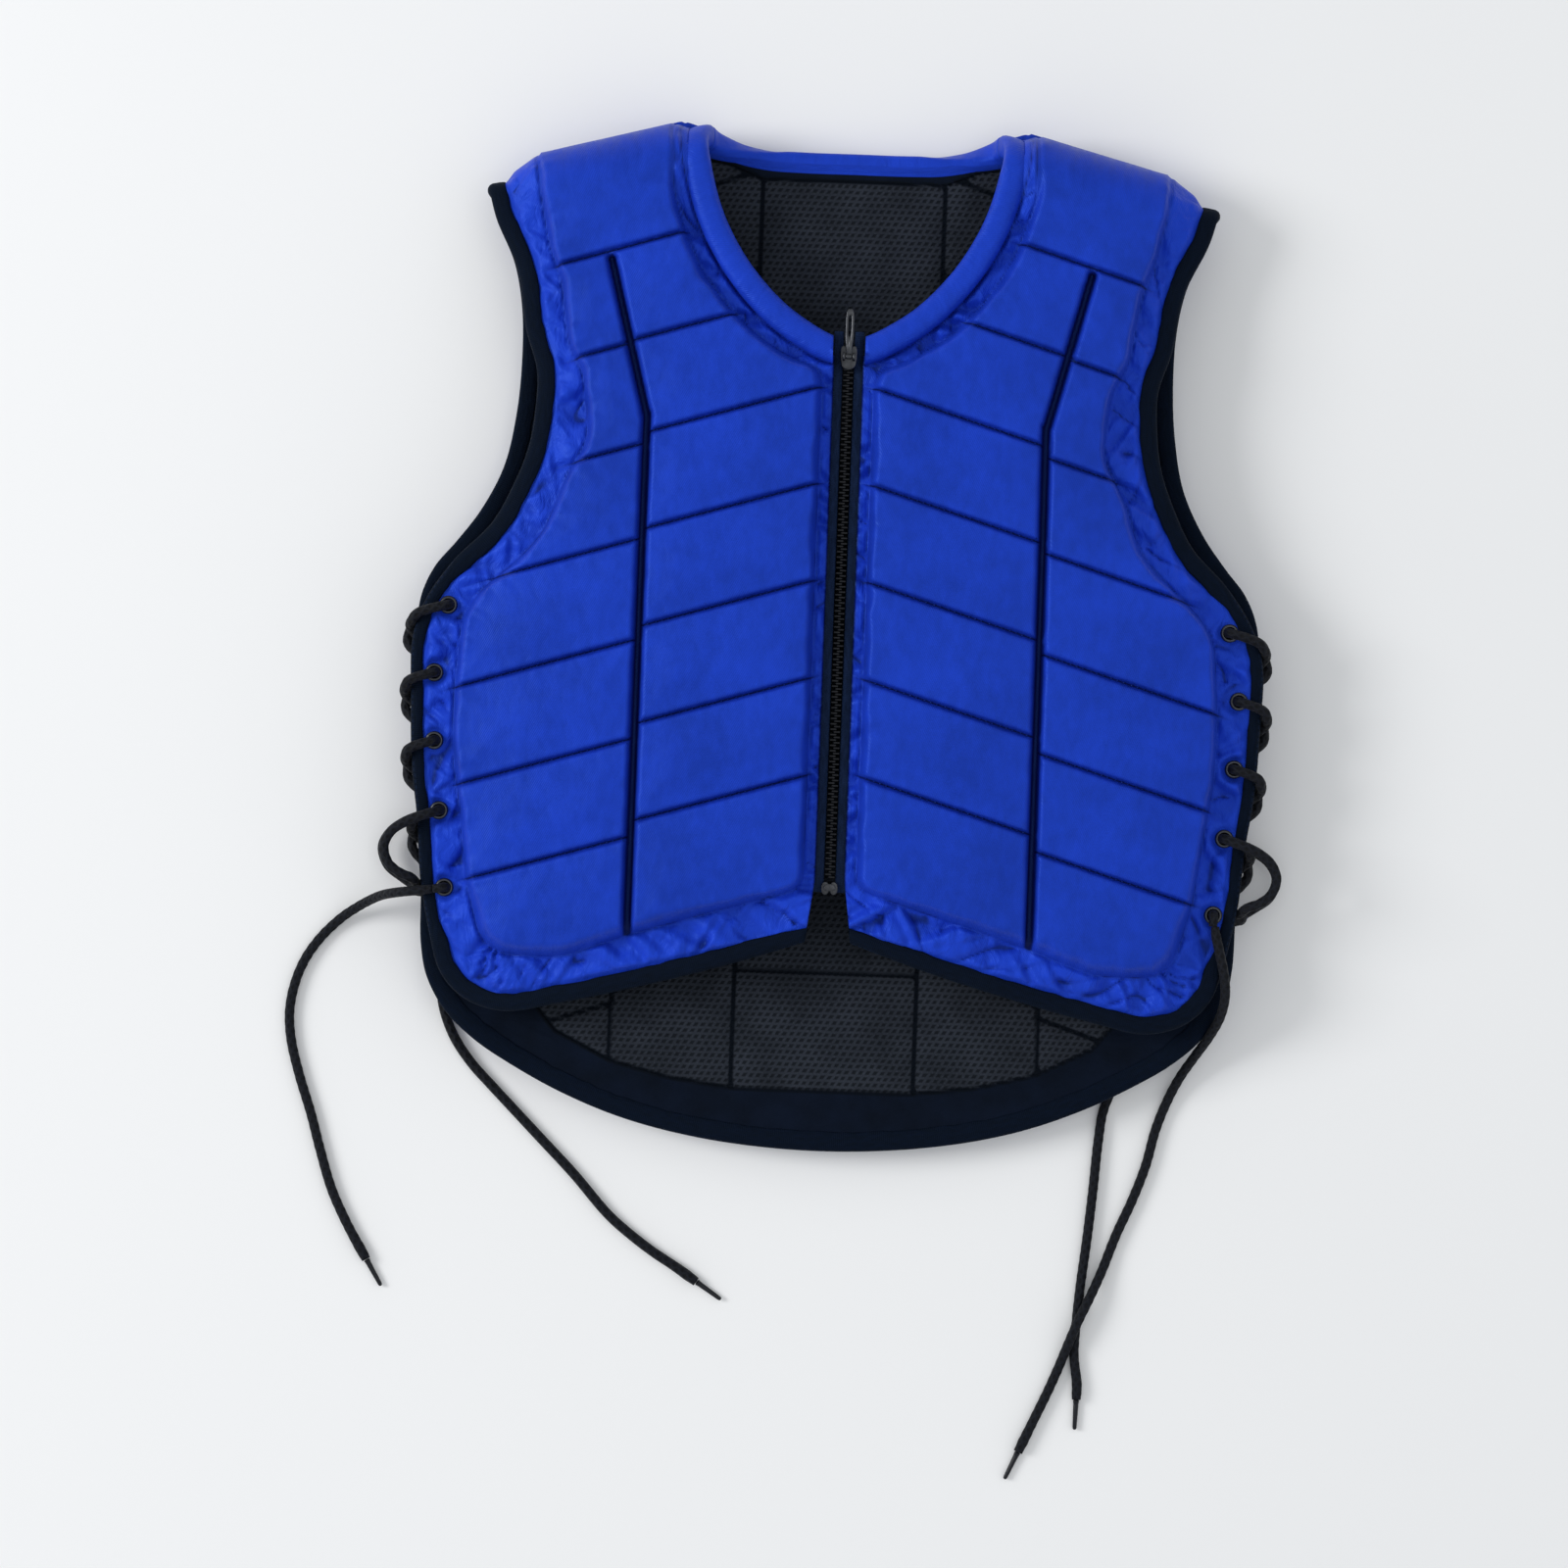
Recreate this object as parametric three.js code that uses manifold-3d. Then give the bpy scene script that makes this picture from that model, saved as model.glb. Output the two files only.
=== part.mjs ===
// Equestrian body protector, lying on its back. Millimetres, +Z up, +Y towards the neck,
// +X towards the wearer's left. Patterns are written as [X, d] with d = mm below the top.
import * as THREE from 'three';
import { mergeVertices } from 'three/addons/utils/BufferGeometryUtils.js';
import Module from 'manifold-3d';

const wasm = await Module();
wasm.setup();

const TOP = 290.9;        // Y of d = 0
const T = 18;             // pad thickness
const PLATE = 3;          // quilted margin thickness
const LACE_R = 2.25;

const mat = (color, roughness, metalness = 0) =>
  new THREE.MeshStandardMaterial({ color, roughness, metalness });
const SATIN = () => mat(0x1c3eb9, 0.5);
const BINDING = () => mat(0x141c26, 0.85);
const MESH = () => mat(0x23292e, 0.9);
const LACE = () => mat(0x10161c, 0.85);
const METAL = () => mat(0x30343a, 0.35, 1);
const ZIP = () => mat(0x15191e, 0.6);
const TIP = () => mat(0x15171a, 0.4);

// Piecewise linear tables. Every body is sliced at their break points before it is bent, so
// pieces that lie on each other stay parallel.
const lin = (table, x) => {
  if (x <= table[0][0]) return table[0][1];
  for (let i = 1; i < table.length; i++) {
    const [x1, y1] = table[i];
    const [x0, y0] = table[i - 1];
    if (x <= x1) return y0 + (y1 - y0) * (x - x0) / (x1 - x0);
  }
  return table[table.length - 1][1];
};
const X_CUTS = [30, 85, 172, 204];
const FOLD = [[30, -16], [85, -1], [172, 22], [204, 28], [212, 29.5]];      // d of the shoulder fold
const FRONT_IN = [[30, 42], [85, 40.5], [172, 34], [204, 29]];
const BACK_IN = [[172, 18], [204, 22]];
const CHEST = [[-225, 6], [-100, 10], [60, 10.5], [150, 5], [222, 0]];
const Y_CUTS = [-100, 60, 150, 222];
const STEPS = 3;          // flats round the shoulder fold, on each side

const fold = (ax) => TOP - lin(FOLD, ax);
const reach = (ax) => (lin(FRONT_IN, ax) - lin(BACK_IN, ax)) / 2 + T;

function bend(side, X, Y, h) {
  const ax = Math.abs(X);
  const zf = lin(FRONT_IN, ax);
  const zb = lin(BACK_IN, ax);
  const a = reach(ax);
  const s = fold(ax) - Y;
  if (s >= a) return [X, Y, side > 0 ? zf + lin(CHEST, Y) + h : zb - h];
  const u = Math.max(0, s / a);
  const k = Math.min(STEPS - 1, Math.floor(u * STEPS));
  const t = u * STEPS - k;
  const q = Math.PI / 2 / STEPS;
  const c = Math.cos(k * q) * (1 - t) + Math.cos((k + 1) * q) * t;
  const n = Math.sin(k * q) * (1 - t) + Math.sin((k + 1) * q) * t;
  const r = a - T + h;
  return [X, fold(ax) - a + r * c, (zf + zb) / 2 + side * r * n];
}

// Plain meshes are kept as { v: [[x, y, z]], f: [[a, b, c]] }.
function slice(mesh, level, tol = 0.45) {
  const v = mesh.v.slice();
  const side = v.map((p) => { const q = level(p); return Math.abs(q) < tol ? 0 : q; });
  const made = new Map();
  const cut = (a, b) => {
    const key = a < b ? `${a},${b}` : `${b},${a}`;
    if (!made.has(key)) {
      const [i, j] = a < b ? [a, b] : [b, a];
      const t = side[i] / (side[i] - side[j]);
      made.set(key, v.length);
      v.push([0, 1, 2].map((k) => v[i][k] + (v[j][k] - v[i][k]) * t));
    }
    return made.get(key);
  };
  const f = [];
  for (const tri of mesh.f) {
    const s = tri.map((i) => Math.sign(side[i]));
    const pos = s.filter((q) => q > 0).length;
    const neg = s.filter((q) => q < 0).length;
    if (!pos || !neg) { f.push(tri); continue; }
    if (pos + neg === 2) {
      const z = s.indexOf(0);
      const [a, b, c] = [tri[z], tri[(z + 1) % 3], tri[(z + 2) % 3]];
      const m = cut(b, c);
      f.push([a, b, m], [a, m, c]);
      continue;
    }
    const lone = pos === 1 ? s.indexOf(1) : s.indexOf(-1);
    const [a, b, c] = [tri[lone], tri[(lone + 1) % 3], tri[(lone + 2) % 3]];
    const m = cut(a, b);
    const n = cut(c, a);
    f.push([a, m, n]);
    const len = (p, q) => Math.hypot(v[p][0] - v[q][0], v[p][1] - v[q][1], v[p][2] - v[q][2]);
    if (len(m, c) < len(b, n)) f.push([m, b, c], [m, c, n]);
    else f.push([m, b, n], [b, c, n]);
  }
  return { v, f };
}

function bent(mesh, side) {
  let out = mesh;
  for (const x of X_CUTS) {
    out = slice(out, (p) => p[0] - x);
    out = slice(out, (p) => p[0] + x);
  }
  for (let i = 1; i <= STEPS; i++) {
    out = slice(out, (p) => fold(Math.abs(p[0])) - p[1] - i / STEPS * reach(Math.abs(p[0])), 0.15);
  }
  if (side > 0) for (const y of Y_CUTS) out = slice(out, (p) => p[1] - y);
  return thin({ v: out.v.map(([x, y, h]) => bend(side, x, y, h)), f: side > 0 ? out.f : flip(out.f) });
}
const flip = (f) => f.map(([a, b, c]) => [a, c, b]);

// Takes out the vertices that a flat face or a straight edge does not need.
function thin(mesh, tol = 0.09) {
  const v = mesh.v;
  const f = mesh.f.map((t) => t.slice());
  const around = v.map(() => new Set());
  f.forEach((t, i) => t.forEach((a) => around[a].add(i)));
  const cross = (a, b, c) => {
    const [p, q] = [b, c].map((w) => [0, 1, 2].map((k) => v[w][k] - v[a][k]));
    return [p[1] * q[2] - p[2] * q[1], p[2] * q[0] - p[0] * q[2], p[0] * q[1] - p[1] * q[0]];
  };
  const dot = (a, b) => a[0] * b[0] + a[1] * b[1] + a[2] * b[2];
  const near = (a) => {
    const s = new Set();
    for (const i of around[a]) for (const p of f[i]) s.add(p);
    s.delete(a);
    return s;
  };
  const fits = (a, b) => {
    for (const i of around[a]) {
      const t = f[i];
      if (t.includes(b)) continue;
      const n0 = cross(...t);
      const n1 = cross(...t.map((p) => (p === a ? b : p)));
      const l0 = Math.sqrt(dot(n0, n0));
      const l1 = Math.sqrt(dot(n1, n1));
      if (l1 < 0.02) return false;
      if (l0 > 0.01 && dot(n0, n1) / l0 / l1 < 0.998) return false;
      const d = [0, 1, 2].map((k) => v[a][k] - v[b][k]);
      if (Math.abs(dot(d, n1)) / l1 > tol) return false;
    }
    return true;
  };
  for (let pass = 0, moved = true; moved && pass < 8; pass++) {
    moved = false;
    for (let a = 0; a < v.length; a++) {
      if (!around[a].size) continue;
      const mine = near(a);
      for (const b of mine) {
        let common = 0;
        for (const p of near(b)) if (mine.has(p)) common++;
        if (common !== 2 || !fits(a, b)) continue;
        for (const i of [...around[a]]) {
          if (f[i].includes(b)) {
            for (const p of f[i]) around[p].delete(i);
            f[i] = null;
          } else {
            f[i] = f[i].map((p) => (p === a ? b : p));
            around[b].add(i);
          }
        }
        around[a].clear();
        moved = true;
        break;
      }
    }
  }
  const used = new Map();
  const keep = [];
  const name = (p) => {
    if (!used.has(p)) { used.set(p, keep.length); keep.push(v[p]); }
    return used.get(p);
  };
  return { f: f.filter(Boolean).map((t) => t.map(name)), v: keep };
}
const mirrored = (mesh) => ({ v: mesh.v.map(([x, y, z]) => [-x, y, z]), f: flip(mesh.f) });

const solid = (mesh) => new wasm.Manifold(new wasm.Mesh({
  numProp: 3,
  vertProperties: new Float32Array(mesh.v.flat()),
  triVerts: new Uint32Array(mesh.f.flat()),
}));
const plain = (man) => {
  const g = man.getMesh();
  const v = [];
  const f = [];
  for (let i = 0; i < g.vertProperties.length; i += g.numProp) {
    v.push([g.vertProperties[i], g.vertProperties[i + 1], g.vertProperties[i + 2]]);
  }
  for (let i = 0; i < g.triVerts.length; i += 3) {
    f.push([g.triVerts[i], g.triVerts[i + 1], g.triVerts[i + 2]]);
  }
  return { v, f };
};

// Rings of [X, Y] at growing heights, closed with flat caps.
function loft(rings) {
  const n = rings[0].pts.length;
  const area = rings[0].pts.reduce((s, p, i) => {
    const q = rings[0].pts[(i + 1) % n];
    return s + p[0] * q[1] - q[0] * p[1];
  }, 0);
  const use = area > 0 ? rings : rings.map((r) => ({ ...r, pts: r.pts.slice().reverse() }));
  const v = use.flatMap((r) => r.pts.map((p) => [p[0], p[1], r.h]));
  const f = [];
  const cap = (ring, up) => {
    const shape = ring.pts.map((p) => new THREE.Vector2(p[0], p[1]));
    return THREE.ShapeUtils.triangulateShape(shape, []).map((t) => (up ? t : [t[0], t[2], t[1]]));
  };
  f.push(...cap(use[0], false));
  const last = (use.length - 1) * n;
  f.push(...cap(use[use.length - 1], true).map((t) => t.map((i) => i + last)));
  for (let k = 0; k + 1 < use.length; k++) {
    for (let i = 0; i < n; i++) {
      const j = (i + 1) % n;
      f.push([k * n + i, k * n + j, (k + 1) * n + j], [k * n + i, (k + 1) * n + j, (k + 1) * n + i]);
    }
  }
  return { v, f };
}
const plan = (pts) => pts.map(([x, d]) => [x, TOP - d]);

// Offset of an open line to its right-hand side (inwards for the lines below), mitred. The end
// directions can be given, so that neighbours end on one common line.
function offset(line, dist, start, end) {
  const dir = (a, b) => {
    const l = Math.hypot(b[0] - a[0], b[1] - a[1]);
    return [(b[0] - a[0]) / l, (b[1] - a[1]) / l];
  };
  return line.map((p, i) => {
    const w = typeof dist === 'function' ? dist(p, i) : dist;
    if (i === 0 && start) return [p[0] + start[0] * w, p[1] + start[1] * w];
    if (i === line.length - 1 && end) return [p[0] + end[0] * w, p[1] + end[1] * w];
    const d0 = i > 0 ? dir(line[i - 1], p) : dir(p, line[i + 1]);
    const d1 = i < line.length - 1 ? dir(p, line[i + 1]) : d0;
    const n = [-d0[1] - d1[1], d0[0] + d1[0]];
    const l = Math.hypot(n[0], n[1]);
    const k = w / (l / 2);
    return [p[0] + n[0] / l * k, p[1] + n[1] / l * k];
  });
}
function offsetClosed(line, w) {
  const n = line.length;
  const ext = [line[n - 1], ...line, line[0]];
  return offset(ext, w).slice(1, -1);
}

// A section of [n, h] points swept along a line: n is the distance inwards from the line.
function edging(line, section, width, start, end) {
  const rows = section.map(([n, h]) => {
    const w = (p) => (n > 2 ? width(p) + (n - 10) : n);
    return plan(offset(line, w, start, end)).map((p) => [...p, h]);
  });
  const m = section.length;
  const v = [];
  const f = [];
  for (let i = 0; i < line.length; i++) for (let k = 0; k < m; k++) v.push(rows[k][i]);
  for (let i = 0; i + 1 < line.length; i++) {
    for (let k = 0; k < m; k++) {
      const l = (k + 1) % m;
      const [a, b, c, d] = [i * m + k, i * m + l, (i + 1) * m + l, (i + 1) * m + k];
      f.push([a, b, c], [a, c, d]);
    }
  }
  const tris = THREE.ShapeUtils.triangulateShape(section.map(([n, h]) => new THREE.Vector2(n, h)), []);
  const e = (line.length - 1) * m;
  f.push(...tris.map(([a, b, c]) => [a, c, b]), ...tris.map(([a, b, c]) => [a + e, b + e, c + e]));
  return outward({ v, f });
}
function outward(mesh) {
  let vol = 0;
  for (const [a, b, c] of mesh.f) {
    const [p, q, r] = [mesh.v[a], mesh.v[b], mesh.v[c]];
    vol += p[0] * (q[1] * r[2] - q[2] * r[1]) - p[1] * (q[0] * r[2] - q[2] * r[0])
      + p[2] * (q[0] * r[1] - q[1] * r[0]);
  }
  return vol > 0 ? mesh : { v: mesh.v, f: flip(mesh.f) };
}

// Outer edges of the wearer's left half, from the shoulder tip downwards.
const F_EDGE = [[206, 28.55], [206, 38], [201, 60], [187, 91], [181, 124], [174, 147], [174, 168],
  [177, 190], [185, 212], [196, 233], [216, 254], [231, 276], [238, 297], [238, 330], [236, 370],
  [232, 400], [229, 434], [223, 464], [216, 486], [202, 500], [180, 506], [148, 500], [100, 488],
  [55, 475], [13, 461]];
const B_EDGE = [[206, 28.55], [206, 38], [201, 60], [190, 85], [185, 110], [184, 140], [186, 170],
  [192, 200], [204, 225], [217, 243], [229, 258], [236, 275], [238, 300], [238, 330], [236, 370],
  [232, 400], [230, 440], [229, 470], [225, 489], [214, 508], [198, 523], [178, 536], [147, 552],
  [109, 566], [60, 576], [0, 580]];
const B_ROUND = [...B_EDGE, ...B_EDGE.slice(0, -1).reverse().map(([x, d]) => [-x, d])];
const NECK_F = [[80, -2.2], [83, 12], [80, 32], [73, 55], [62, 76], [50, 92], [36, 106], [20, 117],
  [9, 122.5]];
const NECK_B = [[80, -2.2], [77, 5], [67, 11], [50, 15], [28, 16], [0, 16]];

// Binding width: 10 at the armhole and hem, 7 where the eyelets are.
const sideWidth = ([, d]) => (d > 262 && d < 462 ? 7 : 10);
const hemWidth = (p) => (p[1] > 500 ? 11.5 : sideWidth(p));
const liningWidth = ([, d]) => (d > 262 && d < 466 ? 19.5 : 12.3);
const hemLiningWidth = ([x, d]) => (d > 262 && d < 466 ? 19.5 : 12.6);
const FOLD_DIR = [-1, -6 / 32];
const NECK_DIR = [1, 23 / 87];

// The U binding: n, h.
const U = [[0, -1.6], [10, -1.6], [10, -0.3], [1.5, -0.3], [1.5, PLATE + 0.3], [10, PLATE + 0.3],
  [10, PLATE + 1.6], [0, PLATE + 1.6]];

// Inside the neck band the offset runs the other way round, towards the cloth.
const neckLine = (line, w, end) => offset(line, -w, [-NECK_DIR[0], -NECK_DIR[1]], end);
const neckEnd = [0, -1];

function groove(a, b, w, floor = 5) {
  const [p, q] = plan([a, b]);
  const l = Math.hypot(q[0] - p[0], q[1] - p[1]);
  const t = [(q[0] - p[0]) / l, (q[1] - p[1]) / l];
  const n = [-t[1], t[0]];
  const prof = [[-w / 2, floor], [w / 2, floor], [w / 2 + 1, T + 0.2], [-w / 2 - 1, T + 0.2]];
  const m = prof.length;
  const v = [];
  for (const e of [p, q]) for (const [c, h] of prof) v.push([e[0] + n[0] * c, e[1] + n[1] * c, h]);
  const f = [];
  for (let k = 0; k < m; k++) {
    const j = (k + 1) % m;
    f.push([k, j, j + m], [k, j + m, k + m]);
  }
  const tris = THREE.ShapeUtils.triangulateShape(prof.map(([c, h]) => new THREE.Vector2(c, h)), []);
  f.push(...tris.map(([x, y, z]) => [x, z, y]), ...tris.map(([x, y, z]) => [x + m, y + m, z + m]));
  return solid(outward({ v, f }));
}

function quilted(outline, pads, grooves, holes) {
  const plate = solid(loft([{ h: 0, pts: plan(outline) }, { h: PLATE, pts: plan(outline) }]));
  const clip = solid(loft([{ h: -1, pts: plan(outline) }, { h: 40, pts: plan(outline) }]));
  const grow = (w) => plan(offsetClosed(pads, w));
  let slab = solid(loft([
    { h: 1.5, pts: grow(-3) }, { h: T, pts: grow(0.5) },
  ]));
  slab = slab.intersect(clip);
  for (const [a, b, w] of grooves) slab = slab.subtract(groove(a, b, w));
  let all = plate.add(slab);
  for (const [x, d] of holes) {
    const ring = [...Array(8).keys()].map((i) => {
      const t = (i + 0.5) * Math.PI / 4;
      return [x + 3.1 * Math.cos(t), TOP - d + 3.1 * Math.sin(t)];
    });
    all = all.subtract(solid(loft([{ h: -2, pts: ring }, { h: 9, pts: ring }])));
  }
  return plain(all);
}

// Eyelet rows: 12.5 mm in from the outer edge.
const ROWS = [280, 318, 356, 395, 438];
const edgeAt = (line, d) => {
  for (let i = 1; i < line.length; i++) {
    if (line[i - 1][1] <= d && d <= line[i][1]) {
      const t = (d - line[i - 1][1]) / (line[i][1] - line[i - 1][1]);
      return line[i - 1][0] + t * (line[i][0] - line[i - 1][0]);
    }
  }
  return 0;
};
const INSET = (d) => (d < 300 ? 13.6 : 12.8);
const F_HOLES = ROWS.map((d) => [edgeAt(F_EDGE, d) - INSET(d), d]);
const B_HOLES = ROWS.map((d) => [edgeAt(B_EDGE, d) - INSET(d), d]);

// Front half.
const F_PLATE = [
  ...offset(F_EDGE, 1.8, FOLD_DIR, [0, -1]),
  [9, 432], [8, 425], [8, 138.2],
  ...neckLine(NECK_F, 15.3, neckEnd).slice(1, -1).reverse(),
  [95.3, 1.87], [172, 22.15],
];
const F_PADS = [[100, -12], [180, -12], [180, 26], [168, 80], [162, 92], [156, 134], [147, 147],
  [143, 186], [155, 207], [166, 238], [178, 252], [201, 272], [210, 287], [213, 330], [212, 366],
  [207, 397], [203, 432], [194, 466], [183, 474], [149, 474], [111, 460], [15, 430], [15, 142],
  [31, 137], [47, 128], [61, 117], [74, 103], [86, 86], [95, 66], [102, 42]];
const chev = (d0, x0, k, xa, xb, slope) => [
  [xa, d0 + k * slope[0] + slope[1] * (xa - x0)], [xb, d0 + k * slope[0] + slope[1] * (xb - x0)], 2.2];
const F_GROOVES = [
  [[80, 44 + 0.3 * 65], [185, 44 + 0.3 * 170], 2.4],
  chev(44, 15, 1, 60, 125, [54, 0.3]),
  ...[2, 3, 4, 5, 6].map((k) => chev(44, 15, k, 5, 112, [54, 0.3])),
  [[124, 132], [170, 146], 2.2],
  ...[187, 240, 296, 351, 405.5].map((d) => [[112, d], [232, d + 36], 2.2]),
  [[134, 84], [111, 172], 5],
  [[111, 170], [112, 490], 4.4],
];
const frontPanel = quilted(F_PLATE, F_PADS, F_GROOVES, F_HOLES);

// Back.
const B_INNER = offset(B_ROUND, 1.8, FOLD_DIR, [1, -6 / 32]);
const bNeck = neckLine(NECK_B, 14.2).slice(1, -1);
const bNeckMid = [0, 16 + 13.7];
const B_PLATE = [
  ...B_INNER,
  [-172, 22.15], [-93.9, 1.5], ...bNeck.map(([x, d]) => [-x, d]),
  bNeckMid, ...bNeck.slice().reverse(), [93.9, 1.5], [172, 22.15],
];
const B_SIDE = [[98, -12], [180, -12], [178, 28], [168, 52], [160, 84], [154, 115], [151, 147],
  [151, 174], [155, 195], [168, 226], [184, 248], [204, 268], [212, 281], [214, 300], [213, 343],
  [207, 385], [203, 427], [195, 465], [152, 517], [120, 533], [88, 541], [51, 546]];
const B_PADS = [...B_SIDE, ...B_SIDE.slice().reverse().map(([x, d]) => [-x, d]),
  [-92, 14], [-76, 22], [-52, 32], [52, 32], [76, 22], [92, 14]];
const both = (g) => g.flatMap(([a, b, w]) => [[a, b, w], [[-a[0], a[1]], [-b[0], b[1]], w]]);
const B_GROOVES = [
  ...both([
    [[51.5, 10], [51.5, 560], 4.6],
    [[143, 5], [121, 90], 5], [[121, 88], [118, 170], 5], [[118, 168], [121, 560], 5],
    ...[0, 1, 2, 3, 4, 5, 6, 7, 8].map((k) => chev(28, 54, k, 52, 121, [55.5, 0.33])),
    ...[60, 115, 168, 221, 281, 334, 390, 446, 500].map((d) => [[119, d], [232, d + 37], 2.2]),
  ]),
  [[-51, 250], [51, 250], 2.2], [[-51, 361], [51, 361], 2.2],
];
const backPanel = quilted(B_PLATE, B_PADS, B_GROOVES,
  [...B_HOLES, ...B_HOLES.map(([x, d]) => [-x, d])]);

// Mesh linings inside.
const sheet = (pts) => loft([{ h: -1.5, pts: plan(pts) }, { h: -0.3, pts: plan(pts) }]);
const frontLining = sheet([
  ...offset(F_EDGE, liningWidth, FOLD_DIR, [0, -1]).slice(0, -1), [15.4, 449],
  [15.4, 150], ...neckLine(NECK_F, 15.7, neckEnd).slice(1, -2).reverse(),
  [95.8, 2], [172, 22.15],
]);
const lNeck = neckLine(NECK_B, 14.3).slice(1, -1);
const backLining = sheet([
  ...offset(B_ROUND, hemLiningWidth, FOLD_DIR, [1, -6 / 32]),
  [-172, 22.15], [-94.1, 1.55], ...lNeck.map(([x, d]) => [-x, d]),
  [0, 30], ...lNeck.slice().reverse(), [94.1, 1.55], [172, 22.15],
]);

// Padded neck band, in three lengths that meet at the shoulders.
const bandSection = (w) => [[2, -1.5], [w - 2, -1.5], [w, 1], [w, 9], [w - 3.5, 12.6], [3.5, 12.6],
  [0, 9], [0, 1]];
function band(line, w, end) {
  const sec = bandSection(w);
  const rows = sec.map(([n, h]) => plan(neckLine(line, n, end)).map((p) => [...p, h]));
  const m = sec.length;
  const v = [];
  const f = [];
  for (let i = 0; i < line.length; i++) for (let k = 0; k < m; k++) v.push(rows[k][i]);
  for (let i = 0; i + 1 < line.length; i++) {
    for (let k = 0; k < m; k++) {
      const l = (k + 1) % m;
      const [a, b, c, d] = [i * m + k, i * m + l, (i + 1) * m + l, (i + 1) * m + k];
      f.push([a, b, c], [a, c, d]);
    }
  }
  const tris = THREE.ShapeUtils.triangulateShape(sec.map(([n, h]) => new THREE.Vector2(n, h)), []);
  const e = (line.length - 1) * m;
  f.push(...tris.map(([a, b, c]) => [a, c, b]), ...tris.map(([a, b, c]) => [a + e, b + e, c + e]));
  return outward({ v, f });
}
const NECK_ROUND = [...NECK_B, ...NECK_B.slice(0, -1).reverse().map(([x, d]) => [-x, d])];
const frontBand = band(NECK_F, 15, neckEnd);
const backBand = band(NECK_ROUND, 13, [1, -23 / 87]);

const frontBinding = edging(F_EDGE, U, sideWidth, FOLD_DIR, [0, -1]);
const backBinding = edging(B_ROUND, U, hemWidth, FOLD_DIR, [1, -6 / 32]);

const group = new THREE.Group();
group.name = 'equestrian_body_protector';
function add(name, mesh, material) {
  let geo = mesh;
  if (!mesh.isBufferGeometry) {
    geo = new THREE.BufferGeometry();
    geo.setAttribute('position', new THREE.Float32BufferAttribute(mesh.v.flat(), 3));
    geo.setIndex(mesh.f.flat());
  } else {
    geo.deleteAttribute('normal');
    geo.deleteAttribute('uv');
    geo = mergeVertices(geo, 1e-3);
  }
  const m = new THREE.Mesh(geo, material);
  m.name = name;
  group.add(m);
}

const pair = (name, flat, material) => {
  const left = bent(flat, 1);
  add(`${name}_left`, left, material());
  add(`${name}_right`, mirrored(left), material());
};
pair('front_panel', frontPanel, SATIN);
add('back_panel', bent(backPanel, -1), SATIN());
pair('front_lining', frontLining, MESH);
add('back_lining', bent(backLining, -1), MESH());
pair('neck_band_front', frontBand, SATIN);
add('neck_band_back', bent(backBand, -1), SATIN());
pair('front_binding', frontBinding, BINDING);
add('back_binding', bent(backBinding, -1), BINDING());

// Zip: tapes under the margins, coil strip, slider, hinged pull, bottom box.
const tape = loft([-1.4, -0.4].map((h) => ({
  h, pts: plan([[3.3, 119], [8.4, 119], [8.4, 140.5], [15, 140.5], [15, 433], [3.3, 433]]),
})));
pair('zip_tape', tape, ZIP);
const box = (x0, x1, d0, d1, h0, h1) => loft([h0, h1].map((h) => ({
  h, pts: plan([[x0, d1], [x1, d1], [x1, d0], [x0, d0]]),
})));
add('zip_coil', bent(box(-3, 3, 134, 426.6, -2, 1), 1), ZIP());
add('zip_bottom_box', bent(box(-4.6, 4.6, 427, 434, -0.1, 2.2), 1), METAL());
const ZIP_Y = TOP - 134;
const zipZ = 42 + lin(CHEST, ZIP_Y);
const at = (mesh, x, y, z) => ({ v: mesh.v.map((p) => [p[0] + x, p[1] + y, p[2] + z]), f: mesh.f });
const rect = (x0, x1, y0, y1) => [[x0, y0], [x1, y0], [x1, y1], [x0, y1]];
let slider = solid(loft([
  { h: 1.5, pts: [[-3.6, -7], [3.6, -7], [4.8, 0], [4.8, 6], [-4.8, 6], [-4.8, 0]] },
  { h: 4.2, pts: [[-3.6, -7], [3.6, -7], [4.8, 0], [4.8, 6], [-4.8, 6], [-4.8, 0]] },
  { h: 5, pts: [[-2.8, -6.2], [2.8, -6.2], [4, 0], [4, 5.2], [-4, 5.2], [-4, 0]] },
]));
for (const s of [-1, 1]) {
  const x = s * 2.8;
  slider = slider.add(solid(loft([
    { h: 4.6, pts: rect(x - 0.7, x + 0.7, -2.4, 2.4) }, { h: 8.2, pts: rect(x - 0.7, x + 0.7, -1.2, 1.2) },
  ])));
}
add('zip_slider', at(plain(slider), 0, ZIP_Y, zipZ), METAL());
// The pull: an eye between the two lugs and a slim tab that points to the neck.
const eye = new THREE.CylinderGeometry(1.35, 1.35, 3.4, 8).rotateZ(Math.PI / 2);
eye.deleteAttribute('normal');
eye.deleteAttribute('uv');
const eyeGeo = mergeVertices(eye, 1e-4);
const eyeMesh = outward({
  v: [...Array(eyeGeo.attributes.position.count).keys()].map((i) => [
    eyeGeo.attributes.position.getX(i), eyeGeo.attributes.position.getY(i),
    eyeGeo.attributes.position.getZ(i)]),
  f: [...Array(eyeGeo.index.count / 3).keys()].map((i) => [0, 1, 2].map((k) => eyeGeo.index.getX(3 * i + k))),
});
const tab = loft([
  { h: -0.7, pts: [[-1.6, 0], [1.6, 0], [1.6, 6], [2.3, 11], [2.3, 24], [1.2, 26.5], [-1.2, 26.5], [-2.3, 24], [-2.3, 11], [-1.6, 6]] },
  { h: 0.7, pts: [[-1.6, 0], [1.6, 0], [1.6, 6], [2.3, 11], [2.3, 24], [1.2, 26.5], [-1.2, 26.5], [-2.3, 24], [-2.3, 11], [-1.6, 6]] },
]);
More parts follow.
